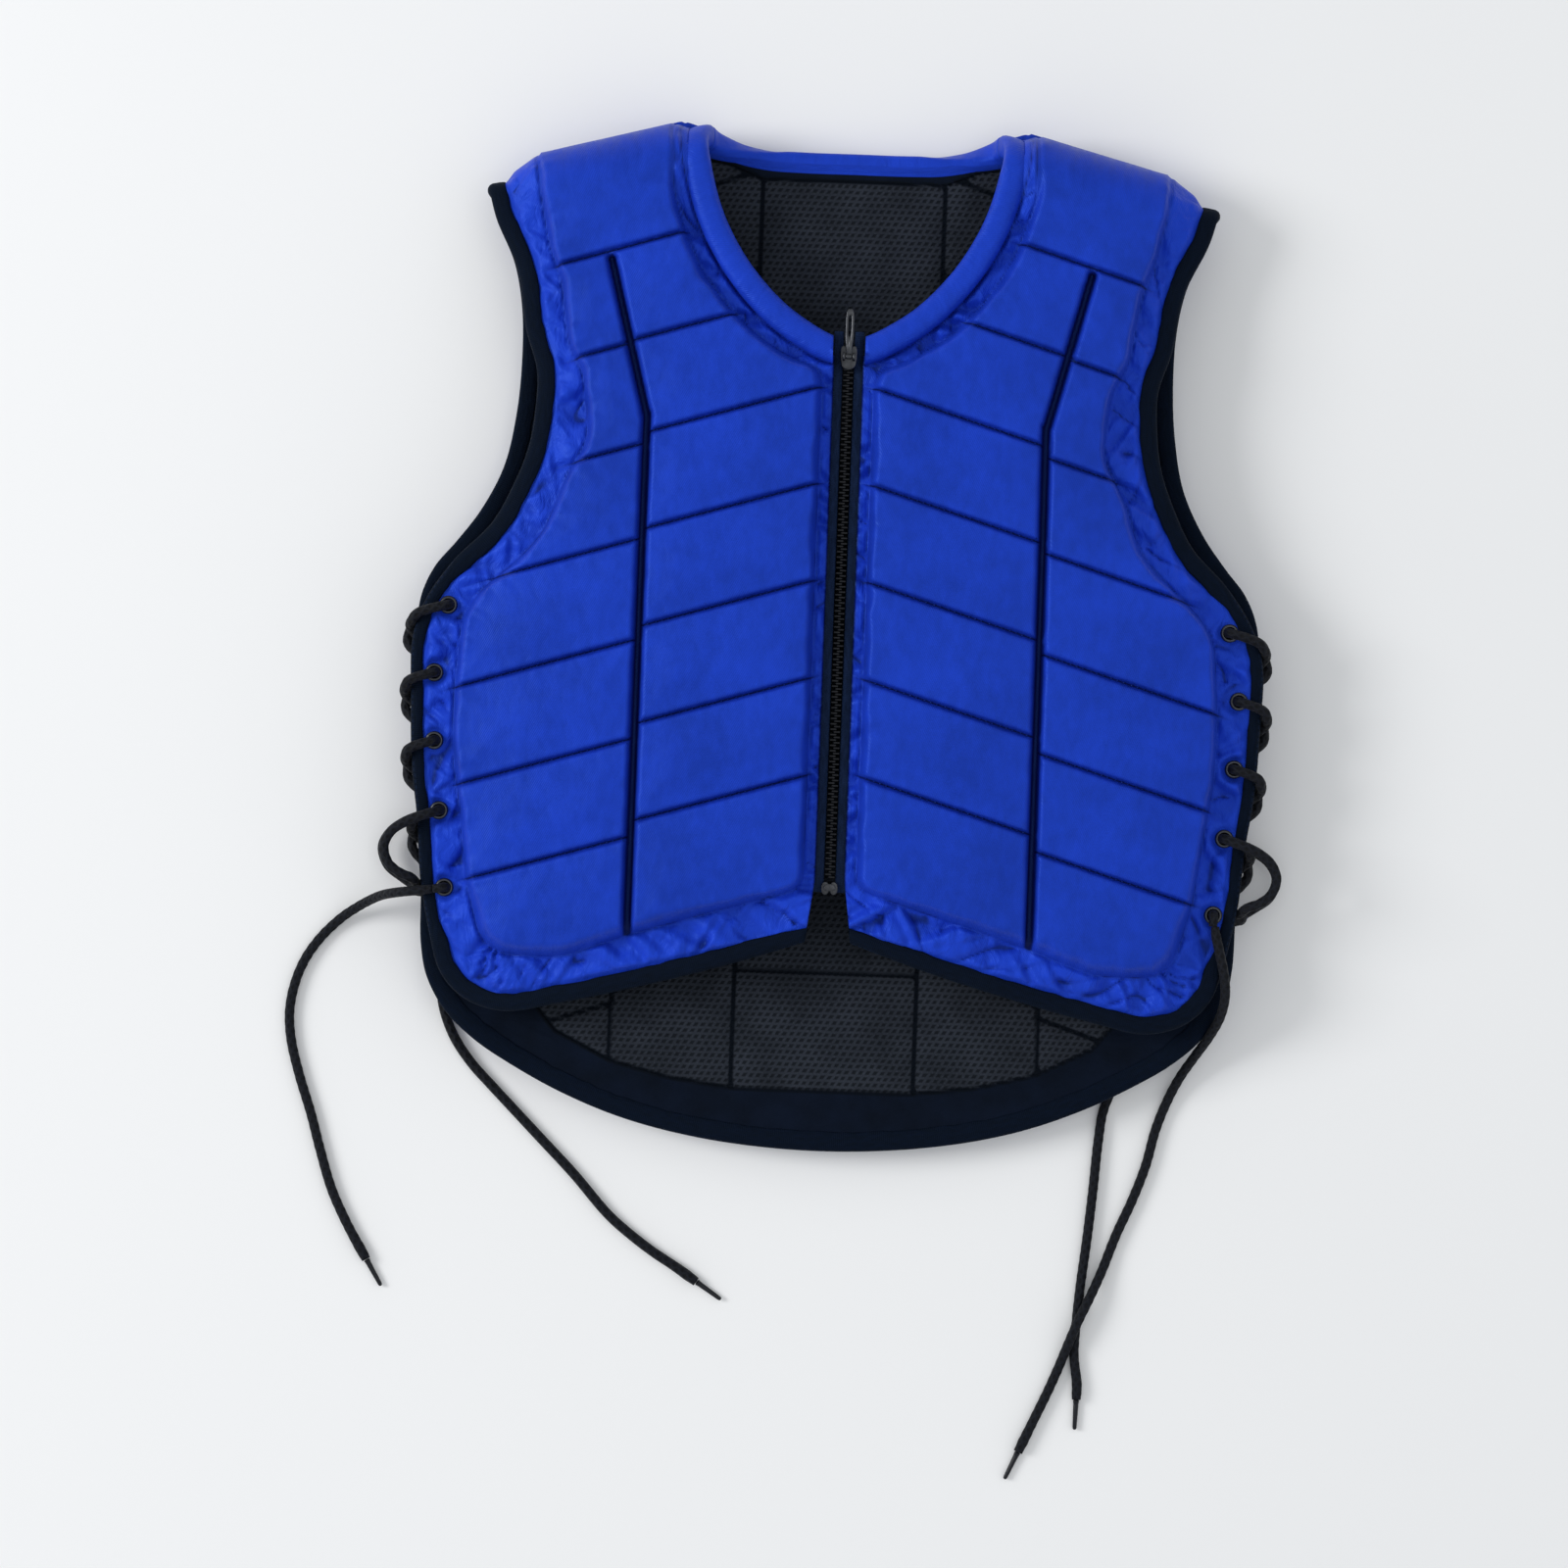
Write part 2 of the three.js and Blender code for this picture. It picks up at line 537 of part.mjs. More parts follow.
add('zip_pull', at(plain(solid(eyeMesh).add(solid(tab))), 0, ZIP_Y, zipZ + 6.8), METAL());

// Eyelets.
const ringProfile = [[3, 0], [4.8, 0], [4.5, 1.1], [3, 1.1]];
function eyelet(x, y, z, up) {
  const v = [];
  const f = [];
  for (let i = 0; i < 8; i++) {
    const t = (i + 0.5) * Math.PI / 4;
    for (const [r, h] of ringProfile) v.push([x + r * Math.cos(t), y + r * Math.sin(t), z + up * h]);
  }
  for (let i = 0; i < 8; i++) {
    const j = (i + 1) % 8;
    for (let k = 0; k < 4; k++) {
      const l = (k + 1) % 4;
      f.push([i * 4 + k, i * 4 + l, j * 4 + l], [i * 4 + k, j * 4 + l, j * 4 + k]);
    }
  }
  return outward({ v, f });
}
const F_EYES = F_HOLES.map(([x, d]) => bend(1, x, TOP - d, 0));
const B_EYES = B_HOLES.map(([x, d]) => bend(-1, x, TOP - d, 0));
for (const [name, eyes, up] of [['front', F_EYES, 1], ['back', B_EYES, -1]]) {
  eyes.forEach(([x, y, z], i) => {
    const ring = eyelet(x, y, z + up * (PLATE + 0.4), up);
    add(`eyelet_${name}_left_${i + 1}`, ring, METAL());
    add(`eyelet_${name}_right_${i + 1}`, mirrored(ring), METAL());
  });
}

// Round lace through hand-set points, with mitred rings.
function tube(points, r, sides) {
  const p = points.map((q) => new THREE.Vector3(...q));
  const dir = p.slice(1).map((q, i) => q.clone().sub(p[i]).normalize());
  let ref = new THREE.Vector3(0, 0, 1);
  if (Math.abs(dir[0].dot(ref)) > 0.9) ref = new THREE.Vector3(0, 1, 0);
  let side = ref.clone().sub(dir[0].clone().multiplyScalar(ref.dot(dir[0]))).normalize();
  const v = [];
  p.forEach((c, i) => {
    const d0 = dir[Math.max(0, i - 1)];
    const d1 = dir[Math.min(dir.length - 1, i)];
    // Carry the side vector on to the next straight, then lay the ring in the mitre plane.
    const here = side.clone().sub(d0.clone().multiplyScalar(side.dot(d0))).normalize();
    const other = d0.clone().cross(here);
    const n = d0.clone().add(d1).normalize();
    for (let k = 0; k < sides; k++) {
      const t = (k + 0.5) * 2 * Math.PI / sides;
      const o = here.clone().multiplyScalar(Math.cos(t) * r).add(other.clone().multiplyScalar(Math.sin(t) * r));
      const shift = -o.dot(n) / d0.dot(n);
      const q = c.clone().add(o).add(d0.clone().multiplyScalar(shift));
      v.push([q.x, q.y, q.z]);
    }
    const turn = new THREE.Quaternion().setFromUnitVectors(d0, d1);
    side = here.clone().applyQuaternion(turn);
  });
  const f = [];
  const m = sides;
  for (let i = 0; i + 1 < p.length; i++) {
    for (let k = 0; k < m; k++) {
      const l = (k + 1) % m;
      f.push([i * m + k, i * m + l, (i + 1) * m + l], [i * m + k, (i + 1) * m + l, (i + 1) * m + k]);
    }
  }
  const e = (p.length - 1) * m;
  for (let k = 1; k + 1 < m; k++) f.push([0, k + 1, k], [e, e + k, e + k + 1]);
  return outward({ v, f });
}

// One strand from a hole in one half round its own edge into the hole below in the other half.
const zOf = (line, side, d) => bend(side, edgeAt(line, d) - 12.5, TOP - d, 0)[2];
const spot = (side, d, n, k) => {
  const line = side > 0 ? F_EDGE : B_EDGE;
  return [edgeAt(line, d) - n, TOP - d, zOf(line, side, d) + side * k];
};
function strand(side, i) {
  const d = ROWS[i];
  const e = ROWS[i + 1];
  const out = [
    spot(side, d, INSET(d), -2.4), spot(side, d, INSET(d), 7.4), spot(side, d + 5, -1, 7.6),
    spot(side, d + 9, -3.4, 4), spot(side, d + 13, -3.4, -3),
  ];
  if (side > 0) out.push(spot(side, d + 18, 1.6, -6.6));
  else out.push(spot(side, d + 22, -3.6, -8));
  out.push(spot(-side, e - 3.5, 11.5, -5));
  return out;
}
function lacing(last) {
  const a = [last, spot(1, ROWS[4], INSET(438), 7.4), spot(1, ROWS[4], INSET(438), -2.4)];
  for (const [i, s] of [[3, -1], [2, 1], [1, -1], [0, 1]]) a.push(...strand(s, i).slice().reverse());
  const b = [];
  for (const [i, s] of [[0, -1], [1, 1], [2, -1], [3, 1]]) b.push(...strand(s, i));
  b.push(spot(-1, ROWS[4], INSET(438), -2.4), spot(-1, ROWS[4], INSET(438), 5.6));
  return tube([...a, ...b], LACE_R, 5);
}
add('lacing_left', lacing(spot(1, 444, INSET(438) - 1, 7.4)), LACE());
add('lacing_right', mirrored(lacing(spot(1, 439, INSET(438) - 6.3, 7.4))), LACE());

const lay = (pts) => pts.map(([x, d, z]) => [x, TOP - d, z]);
const BOW_A = lay([[231.5, 399, 50.9], [239, 402.5, 50], [246, 408, 48], [249.5, 416, 47],
  [247, 425, 46.5], [240.5, 430.5, 45.8], [232, 433, 45.2]]);
const BOW_B = lay([[231.5, 399, 9.6], [240, 402, 9.6], [249, 408, 10.5], [253.5, 417, 11],
  [250, 427.5, 11], [241.5, 434, 12], [233, 438.5, 14.4]]);
for (const [name, pts] of [['bow_loop_front', BOW_A], ['bow_loop_back', BOW_B]]) {
  const loop = tube(pts, LACE_R, 6);
  add(`${name}_left`, loop, LACE());
  add(`${name}_right`, mirrored(loop), LACE());
}

// Free lace ends, laid on the surface, each with a slim aglet.
const ENDS = {
  left_a: [[216.35, 444.35, 44.9], [217, 449, 44.9], [219.5, 459, 44.7], [222.5, 471, 43.4],
    [224, 483, 39.5], [222.5, 495, 32], [217.5, 507, 23], [210.5, 519, 14.5], [203.5, 531, 8],
    [197.5, 544, 4], [191, 562, 2.4], [186, 583, 2.35], [179, 603, 2.35], [171, 622, 2.35],
    [163, 644, 4], [156.5, 659, 6.9], [151, 671, 7.7], [146, 684, 6.5], [141.5, 697, 3.7],
    [136, 711, 2.35], [128, 729, 2.35], [119.5, 748, 2.35]],
  left_b: [[217.3, 438, 15.7], [217.25, 438.8, 12.2], [216.6, 442.5, 8], [215, 449, 4.8],
    [212, 459, 3], [207, 474, 2.4], [200, 490, 2.35], [189, 507, 2.35], [177, 522, 2.35],
    [167.5, 536, 2.35], [161, 552, 2.35], [158.6, 570, 2.35], [156.6, 598, 2.35],
    [154, 628, 2.35], [151.5, 652, 2.35], [150, 672, 2.35], [149.3, 692, 2.35],
    [151.5, 708, 2.35], [151.5, 717, 2.35]],
  right_a: [[-222.1, 439.05, 44.95], [-228, 440, 45], [-236, 441, 43.2], [-244, 442.3, 37.5],
    [-251, 444, 28.5], [-258, 447, 18.5], [-266, 451.5, 10.4], [-276, 458.5, 4.6],
    [-287, 469.5, 2.4], [-295.5, 482, 2.35], [-301, 496, 2.35], [-303.6, 512, 2.35],
    [-302.3, 528, 2.35], [-297, 548, 2.35], [-289.5, 570, 2.35], [-283, 592, 2.35],
    [-276, 613, 2.35], [-266.5, 632.5, 2.35], [-255, 652, 2.35]],
  right_b: [[-217.3, 438, 15.7], [-217.3, 438.8, 12.2], [-217.5, 442.5, 8], [-217.8, 449, 4.8],
    [-217.9, 459, 3], [-217.9, 474, 2.4], [-218.3, 489, 2.35], [-216.5, 506, 2.35],
    [-210, 523, 2.35], [-199.5, 538, 2.35], [-188, 550, 2.35], [-176, 562, 2.35],
    [-158, 580, 2.35], [-139, 599, 2.35], [-118, 622, 2.35], [-104, 633.5, 2.35],
    [-92, 642, 2.35], [-79, 650, 2.35], [-67, 658, 2.35]],
};
for (const [name, route] of Object.entries(ENDS)) {
  const pts = lay(route).map(([x, y, z]) => new THREE.Vector3(x, y, z + 0.06));
  const curve = new THREE.CatmullRomCurve3(pts, false, 'centripetal');
  const length = curve.getLength();
  const shape = new THREE.Shape([...Array(8).keys()].map((i) => new THREE.Vector2(
    LACE_R * Math.cos((i + 0.5) * Math.PI / 4), LACE_R * Math.sin((i + 0.5) * Math.PI / 4))));
  add(`lace_end_${name}`, new THREE.ExtrudeGeometry(shape, {
    steps: Math.round(length / 16), bevelEnabled: false, extrudePath: curve,
  }), LACE());
  const tip = pts[pts.length - 1];
  const way = curve.getTangent(1).setZ(0).normalize();
  const aglet = new THREE.CylinderGeometry(1.15, 1.5, 17, 8);
  aglet.applyQuaternion(new THREE.Quaternion().setFromUnitVectors(new THREE.Vector3(0, 1, 0), way));
  aglet.translate(tip.x + way.x * 8.9, tip.y + way.y * 8.9, 2.0);
  add(`aglet_${name}`, aglet, TIP());
}

export default group;
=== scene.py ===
"""A laced, quilted body protector for riders, laid on its back on a pale floor."""

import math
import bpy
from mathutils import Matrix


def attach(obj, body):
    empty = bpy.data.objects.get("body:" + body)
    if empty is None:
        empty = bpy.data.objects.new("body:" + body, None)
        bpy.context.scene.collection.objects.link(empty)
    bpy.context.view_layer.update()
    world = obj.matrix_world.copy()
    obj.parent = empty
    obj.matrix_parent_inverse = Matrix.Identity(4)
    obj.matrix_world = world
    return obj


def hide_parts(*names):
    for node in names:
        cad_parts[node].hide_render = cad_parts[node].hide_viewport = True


bl_info = {
    "name": "Equestrian Body Protector",
    "version": (1, 0, 0),
    "blender": (4, 5, 0),
    "location": "View3D > Sidebar > Protector",
    "description": "Quilted satin body protector with a mesh lining, zip front and laced sides",
    "category": "Add Mesh",
}

from types import SimpleNamespace

import bmesh
import bpy
import numpy as np
from bpy.props import FloatProperty, FloatVectorProperty, PointerProperty
from bpy.types import Operator, Panel, PropertyGroup
from mathutils import Vector

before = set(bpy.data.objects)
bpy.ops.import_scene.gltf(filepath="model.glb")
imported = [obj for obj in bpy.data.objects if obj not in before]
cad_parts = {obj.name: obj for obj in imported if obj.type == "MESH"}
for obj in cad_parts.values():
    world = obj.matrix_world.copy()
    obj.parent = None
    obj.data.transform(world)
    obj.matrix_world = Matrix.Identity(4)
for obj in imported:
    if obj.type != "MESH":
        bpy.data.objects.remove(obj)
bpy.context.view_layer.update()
MM = 0.001

# Pattern of the vest in millimetres: x from the middle, d downwards from the neck points.
TOP = 290.9
FOAM = 18.0
PLATE = 3.0
FOLD = [[30, -16], [85, -1], [172, 22], [204, 28], [212, 29.5]]
FRONT_IN = [[30, 42], [85, 40.5], [172, 34], [204, 29]]
BACK_IN = [[172, 18], [204, 22]]
CHEST = [[-225, 6], [-100, 10], [60, 10.5], [150, 5], [222, 0]]

FRONT_EDGE = [[206, 28.55], [206, 38], [201, 60], [187, 91], [181, 124], [174, 147], [174, 168],
              [177, 190], [185, 212], [196, 233], [216, 254], [231, 276], [238, 297], [238, 330],
              [236, 370], [232, 400], [229, 434], [223, 464], [216, 486], [202, 500], [180, 506],
              [148, 500], [100, 488], [55, 475], [13, 461]]
BACK_EDGE = [[206, 28.55], [206, 38], [201, 60], [190, 85], [185, 110], [184, 140], [186, 170],
             [192, 200], [204, 225], [217, 243], [229, 258], [236, 275], [238, 300], [238, 330],
             [236, 370], [232, 400], [230, 440], [229, 470], [225, 489], [214, 508], [198, 523],
             [178, 536], [147, 552], [109, 566], [60, 576], [0, 580]]
FRONT_NECK = [[80, -2.2], [83, 12], [80, 32], [73, 55], [62, 76], [50, 92], [36, 106], [20, 117],
              [9, 122.5]]
BACK_NECK = [[80, -2.2], [77, 5], [67, 11], [50, 15], [28, 16], [0, 16]]
FRONT_PADS = [[100, -12], [180, -12], [180, 26], [168, 80], [162, 92], [156, 134], [147, 147],
              [143, 186], [155, 207], [166, 238], [178, 252], [201, 272], [210, 287], [213, 330],
              [212, 366], [207, 397], [203, 432], [194, 466], [183, 474], [149, 474], [111, 460],
              [15, 430], [15, 142], [31, 137], [47, 128], [61, 117], [74, 103], [86, 86],
              [95, 66], [102, 42]]
BACK_PADS_SIDE = [[98, -12], [180, -12], [178, 28], [168, 52], [160, 84], [154, 115], [151, 147],
                  [151, 174], [155, 195], [168, 226], [184, 248], [204, 268], [212, 281],
                  [214, 300], [213, 343], [207, 385], [203, 427], [195, 465], [152, 517],
                  [120, 533], [88, 541], [51, 546]]
FRONT_GROOVES = [
    [[80, 63.5], [185, 95], 2.4], [[60, 111.5], [125, 131], 2.2],
    *[[[5, 41 + 54 * k], [112, 73.1 + 54 * k], 2.2] for k in range(2, 7)],
    [[124, 132], [170, 146], 2.2],
    *[[[112, d], [232, d + 36], 2.2] for d in (187, 240, 296, 351, 405.5)],
    [[134, 84], [111, 172], 5.0], [[111, 170], [112, 490], 4.4],
]
BACK_GROOVES = [
    [[51.5, 10], [51.5, 560], 4.6], [[143, 5], [121, 90], 5.0], [[121, 88], [118, 170], 5.0],
    [[118, 168], [121, 560], 5.0],
    [[52, 27.34], [132, 53.7], 2.2], [[130, 63.6], [232, 97], 2.2],
    *[[[52, 27.34 + 55.5 * k], [121, 50.11 + 55.5 * k], 2.2] for k in range(1, 9)],
    *[[[119, d], [232, d + 37], 2.2] for d in (115, 168, 221, 281, 334, 390, 446, 500)],
    [[-1, 250], [51, 250], 2.2], [[-1, 361], [51, 361], 2.2], [[-1, 479], [51, 479], 1.4],
]
EYELET_ROWS = [280, 318, 356, 395, 438]
ZIP_TOP = 134.0
ZIP_FOOT = 426.6

BOW_FRONT = [[219.6, 395.2, 46.6], [225, 397, 49.9], [231.5, 399, 50.9], [239, 402.5, 50],
             [246, 408, 48], [249.5, 416, 47], [247, 425, 46.5], [240.5, 430.5, 45.8],
             [234.4, 433, 43.6], [232.4, 435, 39.5], [231.2, 436.6, 35.6], [228, 437.6, 32.4],
             [223, 438, 31.2]]
BOW_BACK = [[220, 395.5, 12.4], [226, 397.3, 10.4], [231.5, 399, 9.6], [240, 402, 9.6],
            [249, 408, 10.5], [253.5, 417, 11], [250, 427.5, 11], [241.5, 434, 12],
            [235.4, 438, 14.2], [234, 440, 18.6], [232.4, 441, 23], [228, 441.6, 26.2],
            [222, 442, 27]]
LACE_ENDS = {
    "left_a": [[216.35, 444.35, 44.9], [217, 449, 44.9], [219.5, 459, 44.7], [222.5, 471, 43.4],
               [224, 483, 39.5], [222.5, 495, 32], [217.5, 507, 23], [210.5, 519, 14.5],
               [203.5, 531, 8], [197.5, 544, 4], [191, 562, 2.4], [186, 583, 2.35],
               [179, 603, 2.35], [171, 622, 2.35], [163, 644, 4], [156.5, 659, 6.9],
               [151, 671, 7.7], [146, 684, 6.5], [141.5, 697, 3.7], [136, 711, 2.35],
               [128, 729, 2.35], [119.5, 748, 2.35]],
    "left_b": [[217.3, 438, 15.7], [217.25, 438.8, 12.2], [216.6, 442.5, 8], [215, 449, 4.8],
               [212, 459, 3], [207, 474, 2.4], [200, 490, 2.35], [189, 507, 2.35],
               [177, 522, 2.35], [167.5, 536, 2.35], [161, 552, 2.35], [158.6, 570, 2.35],
               [156.6, 598, 2.35], [154, 628, 2.35], [151.5, 652, 2.35], [150, 672, 2.35],
               [149.3, 692, 2.35], [151.5, 708, 2.35], [151.5, 717, 2.35]],
    "right_a": [[-222.1, 439.05, 44.95], [-228, 440, 45], [-236, 441, 43.2], [-244, 442.3, 37.5],
                [-251, 444, 28.5], [-258, 447, 18.5], [-266, 451.5, 10.4], [-276, 458.5, 4.6],
                [-287, 469.5, 2.4], [-295.5, 482, 2.35], [-301, 496, 2.35], [-303.6, 512, 2.35],
                [-302.3, 528, 2.35], [-297, 548, 2.35], [-289.5, 570, 2.35], [-283, 592, 2.35],
                [-276, 613, 2.35], [-266.5, 632.5, 2.35], [-255, 652, 2.35]],
    "right_b": [[-217.3, 438, 15.7], [-217.3, 438.8, 12.2], [-217.5, 442.5, 8],
                [-217.8, 449, 4.8], [-217.9, 459, 3], [-217.9, 474, 2.4], [-218.3, 489, 2.35],
                [-216.5, 506, 2.35], [-210, 523, 2.35], [-199.5, 538, 2.35], [-188, 550, 2.35],
                [-176, 562, 2.35], [-158, 580, 2.35], [-139, 599, 2.35], [-118, 622, 2.35],
                [-104, 633.5, 2.35], [-92, 642, 2.35], [-79, 650, 2.35], [-67, 658, 2.35]],
}

# Places and widths of the smaller things, in millimetres like the pattern.
FAR = 1e9
SHOULDER_BLUR, BACK_BLUR, CHEST_BLUR = 9.0, 7.0, 14.0
WIDEST = 239.0
PAST_FOLD = -40
EVEN_BY = 150.0
ZIP_EDGE = 8.0
ZIP_FLARE = [[425, 0], [432, 1], [461, 5]]
FLARE_REACH = 40.0
HOLE, HOLE_RIM, EYELET_CLEAR = 3.9, 0.3, 6.0
COVER_INSET, LINING_INSET = 3.0, 6.5
LINING_GRID = 2.4
EDGE_STEP, TAPE_STEP, LACE_STEP = 3.0, 2.4, 1.3
WIDE_SEAM = 4.0
COLUMN_HALF = 1.5
COLUMN_CORE, ROW_CORE = 0.38, 0.4
RUN_APART = 191.0
LEAST = 1.6
MARK_MOST = 9.0
MIDDLE_HEM = np.array([[0.0, 546.0]])
TAPE = [[252, 10], [264, 7.2], [458, 7.2], [470, 10]]
TAPE_STOP = [[424, 0], [425, 7.8], [432, 8.7], [461, 12.6], [480, 15]]
BAND_STOP = [[0, 9.0], [200, 9.0]]
LACE_OVER, LACE_UNDER = 7.4, -2.4
TOOTH_PITCH = 1.5
EYELET_PROFILE = [[3.0, 3.7], [3.2, 4.3], [3.7, 4.65], [4.3, 4.6], [4.9, 4.2], [5.15, 3.6],
                  [5.1, 3.0], [3.5, 2.9], [3.5, -0.9], [4.7, -1.0], [4.9, -1.5], [4.5, -2.05],
                  [3.7, -2.2], [3.1, -1.9], [3.0, -1.3]]
TIP_PROFILE = [[0, 1.2], [0.3, 1.75], [0.8, 1.8], [1.0, 1.62], [2.0, 1.6], [2.4, 1.4],
               [2.8, 1.5], [6, 1.42], [11, 1.3], [15.4, 1.2], [16.4, 1.05], [16.9, 0.6],
               [17.0, 0.1]]
PLAIT, PLAIT_RELIEF = 0.0056, 0.00009      # metres

# Radii of the pads' shoulders, and how deep seams, gathers and folds go.
COLUMN_ROUND, ROW_ROUND, RIM_ROUND, HEM_ROUND = 3.0, 2.7, 4.8, 4.5
ROW_KEEPS = 0.42
HEM_FROM = 425.0
CROWN_REACH = 22.0
SEAM_GATHER, RIM_GATHER, PAD_SLACK = 0.45, 0.9, 0.24
MARGIN_RISE, CREASE_DEPTH, FOLD_DEPTH = 2.2, 1.6, 1.8

FRONT = SimpleNamespace(
    side=1, zipped=True, edge=FRONT_EDGE, neck=FRONT_NECK, grooves=FRONT_GROOVES,
    pads=FRONT_PADS, foot=[[9, 432], [7.9, 425], [7.9, 122.6]], band=15.0, under_band=11.0,
    x_low=ZIP_EDGE, lining_low=15.4, d_high=510.0, sunk=0.0)
BACK = SimpleNamespace(
    side=-1, zipped=False, edge=BACK_EDGE, neck=BACK_NECK, grooves=BACK_GROOVES,
    pads=[*BACK_PADS_SIDE, [-60, 546], [-60, 32], [52, 32], [76, 22], [92, 14]], foot=[],
    band=13.0, under_band=10.0, x_low=-WIDEST, lining_low=-WIDEST, d_high=583.0, sunk=0.45)


class VestSizes(PropertyGroup):
    """Sizes of the dressed vest"""

    pad_height: FloatProperty(
        name="Pad Height", description="Thickness of a foam pad above its lining",
        default=0.0179, min=0.006, max=0.03, unit="LENGTH")
    pad_crown: FloatProperty(
        name="Pad Crown", description="How far the middle of a front pad swells",
        default=0.0012, min=0.0, max=0.004, unit="LENGTH")
    seam_height: FloatProperty(
        name="Seam Height", description="Height of the cover at the bottom of a quilting seam",
        default=0.0085, min=0.003, max=0.02, unit="LENGTH")
    pucker: FloatProperty(
        name="Pucker", description="Depth of the gathers in the loose satin margins",
        default=0.0036, min=0.0, max=0.005, unit="LENGTH")
    front_grid: FloatProperty(
        name="Front Grid", description="Spacing of the points on the two front panels",
        default=0.00115, min=0.001, max=0.006, unit="LENGTH")
    back_grid: FloatProperty(
        name="Back Grid", description="Spacing of the points on the back panel",
        default=0.0016, min=0.001, max=0.006, unit="LENGTH")
    lace_radius: FloatProperty(
        name="Lace Radius", description="Half the thickness of the round lace",
        default=0.00275, min=0.001, max=0.004, unit="LENGTH")


class VestColours(PropertyGroup):
    """Colours of the vest, in linear light"""

    satin: FloatVectorProperty(
        name="Satin", description="Cover of the pads", subtype="COLOR", size=3,
        default=(0.0085, 0.0358, 0.405), min=0, max=1)
    # Painted shade: the dark colour laid on the satin in its seams, folds and gather valleys.
    satin_painted_shade: FloatVectorProperty(
        name="Satin in Seams", description="Cover at the bottom of seams and gathers",
        subtype="COLOR", size=3, default=(0.0011, 0.0014, 0.038), min=0, max=1)
    binding: FloatVectorProperty(
        name="Binding", description="Edge tape and neck band", subtype="COLOR", size=3,
        default=(0.0016, 0.0032, 0.009), min=0, max=1)
    lining: FloatVectorProperty(
        name="Mesh Lining", description="Knitted mesh on the inside", subtype="COLOR", size=3,
        default=(0.0175, 0.0203, 0.0275), min=0, max=1)
    lace: FloatVectorProperty(
        name="Lace", description="Round braided lace", subtype="COLOR", size=3,
        default=(0.0042, 0.0052, 0.0085), min=0, max=1)
    metal: FloatVectorProperty(
        name="Gunmetal", description="Eyelets and zip parts", subtype="COLOR", size=3,
        default=(0.05, 0.052, 0.057), min=0, max=1)


class StageSettings(PropertyGroup):
    """Floor, light and camera"""

    lens: FloatProperty(
        name="Lens", description="Focal length of the camera in millimetres",
        default=100.0, min=20.0, max=300.0)
    height: FloatProperty(
        name="Camera Height", description="Height of the camera above the floor",
        default=2.48, min=0.5, max=10.0, unit="LENGTH")
    aim: FloatVectorProperty(
        name="Aim", description="Point of the floor under the camera", size=2,
        default=(-0.0274, -0.0824), subtype="XYZ_LENGTH")
    roll: FloatProperty(
        name="Roll", description="Turn of the camera about its own line of sight",
        default=math.radians(2.1), subtype="ANGLE")
    light: FloatProperty(
        name="Light", description="Strength of the soft light from the left",
        default=9.9, min=0.0, max=500.0, unit="POWER")


def sizes():
    return bpy.context.scene.protector_sizes


def colours():
    return bpy.context.scene.protector_colours


# Numbers along lines and over the cloth.

def table(points, x, blur=0.0):
    """Value of a table of straight lines, rounded at its corners by the blur."""
    xs, ys = np.array(points, float).T
    if not blur:
        return np.interp(x, xs, ys)
    return sum(np.interp(x + blur * k, xs, ys) for k in (-1, -0.5, 0, 0.5, 1)) / 5


def bend(side, x, d, h, soft=True):
    """Lays a point of the flat pattern on the worn shape, over the shoulder fold."""
    x, d, h = (np.asarray(v, float) for v in (x, d, h))
    blur = 1.0 if soft else 0.0
    across, y = np.abs(x), TOP - d
    front = table(FRONT_IN, across, SHOULDER_BLUR * blur)
    back = table(BACK_IN, across, BACK_BLUR * blur)
    reach = (front - back) / 2 + FOAM
    fold = TOP - table(FOLD, across, SHOULDER_BLUR * blur)
    run = fold - y
    turn = np.clip(run / reach, 0, 1) * math.pi / 2
    radius = reach - FOAM + h
    over = run < reach
    flat = front + table(CHEST, y, CHEST_BLUR * blur) + h if side > 0 else back - h
    z = np.where(over, (front + back) / 2 + side * radius * np.sin(turn), flat)
    y = np.where(over, fold - reach + radius * np.cos(turn), y)
    return np.stack([x, y, z], axis=-1) * MM


def noise(x, y, seed):
    """Smooth noise from -1 to 1 on a unit lattice, the same in every run."""
    x0, y0 = np.floor(x).astype(np.int64), np.floor(y).astype(np.int64)
    fx, fy = smooth(x - x0), smooth(y - y0)

    def corner(i, j):
        n = (i * 374761393 + j * 668265263 + seed * 144665) & 0xFFFFFFFF
        n = ((n ^ (n >> 13)) * 1274126177) & 0xFFFFFFFF
        return ((n ^ (n >> 16)) & 0xFFFF) / 32767.5 - 1

    low = corner(x0, y0) * (1 - fx) + corner(x0 + 1, y0) * fx
    high = corner(x0, y0 + 1) * (1 - fx) + corner(x0 + 1, y0 + 1) * fx
    return low * (1 - fy) + high * fy


def smooth(t):
    t = np.clip(t, 0, 1)
    return t * t * (3 - 2 * t)


def rounded(m, radius):
    """Rise of a pad's shoulder, from 0 at its seam to 1."""
    return 1 - (1 - np.clip(m / radius, 0, 1)) ** 2.3


def near(points, line):
    """Distance of each point from a line, and how far along the line the nearest place is."""
    line = np.asarray(line, float)
    best, along, run = np.full(len(points), FAR), np.zeros(len(points)), 0.0
    for a, b in zip(line[:-1], line[1:]):
        way = b - a
        length = math.hypot(*way)
        if length < 1e-9:
            continue
        t = np.clip((points - a) @ way / length ** 2, 0, 1)
        gap = np.hypot(points[:, 0] - a[0] - t * way[0], points[:, 1] - a[1] - t * way[1])
        hit = gap < best
        best[hit] = gap[hit]
        along[hit] = run + t[hit] * length
        run += length
    return best, along


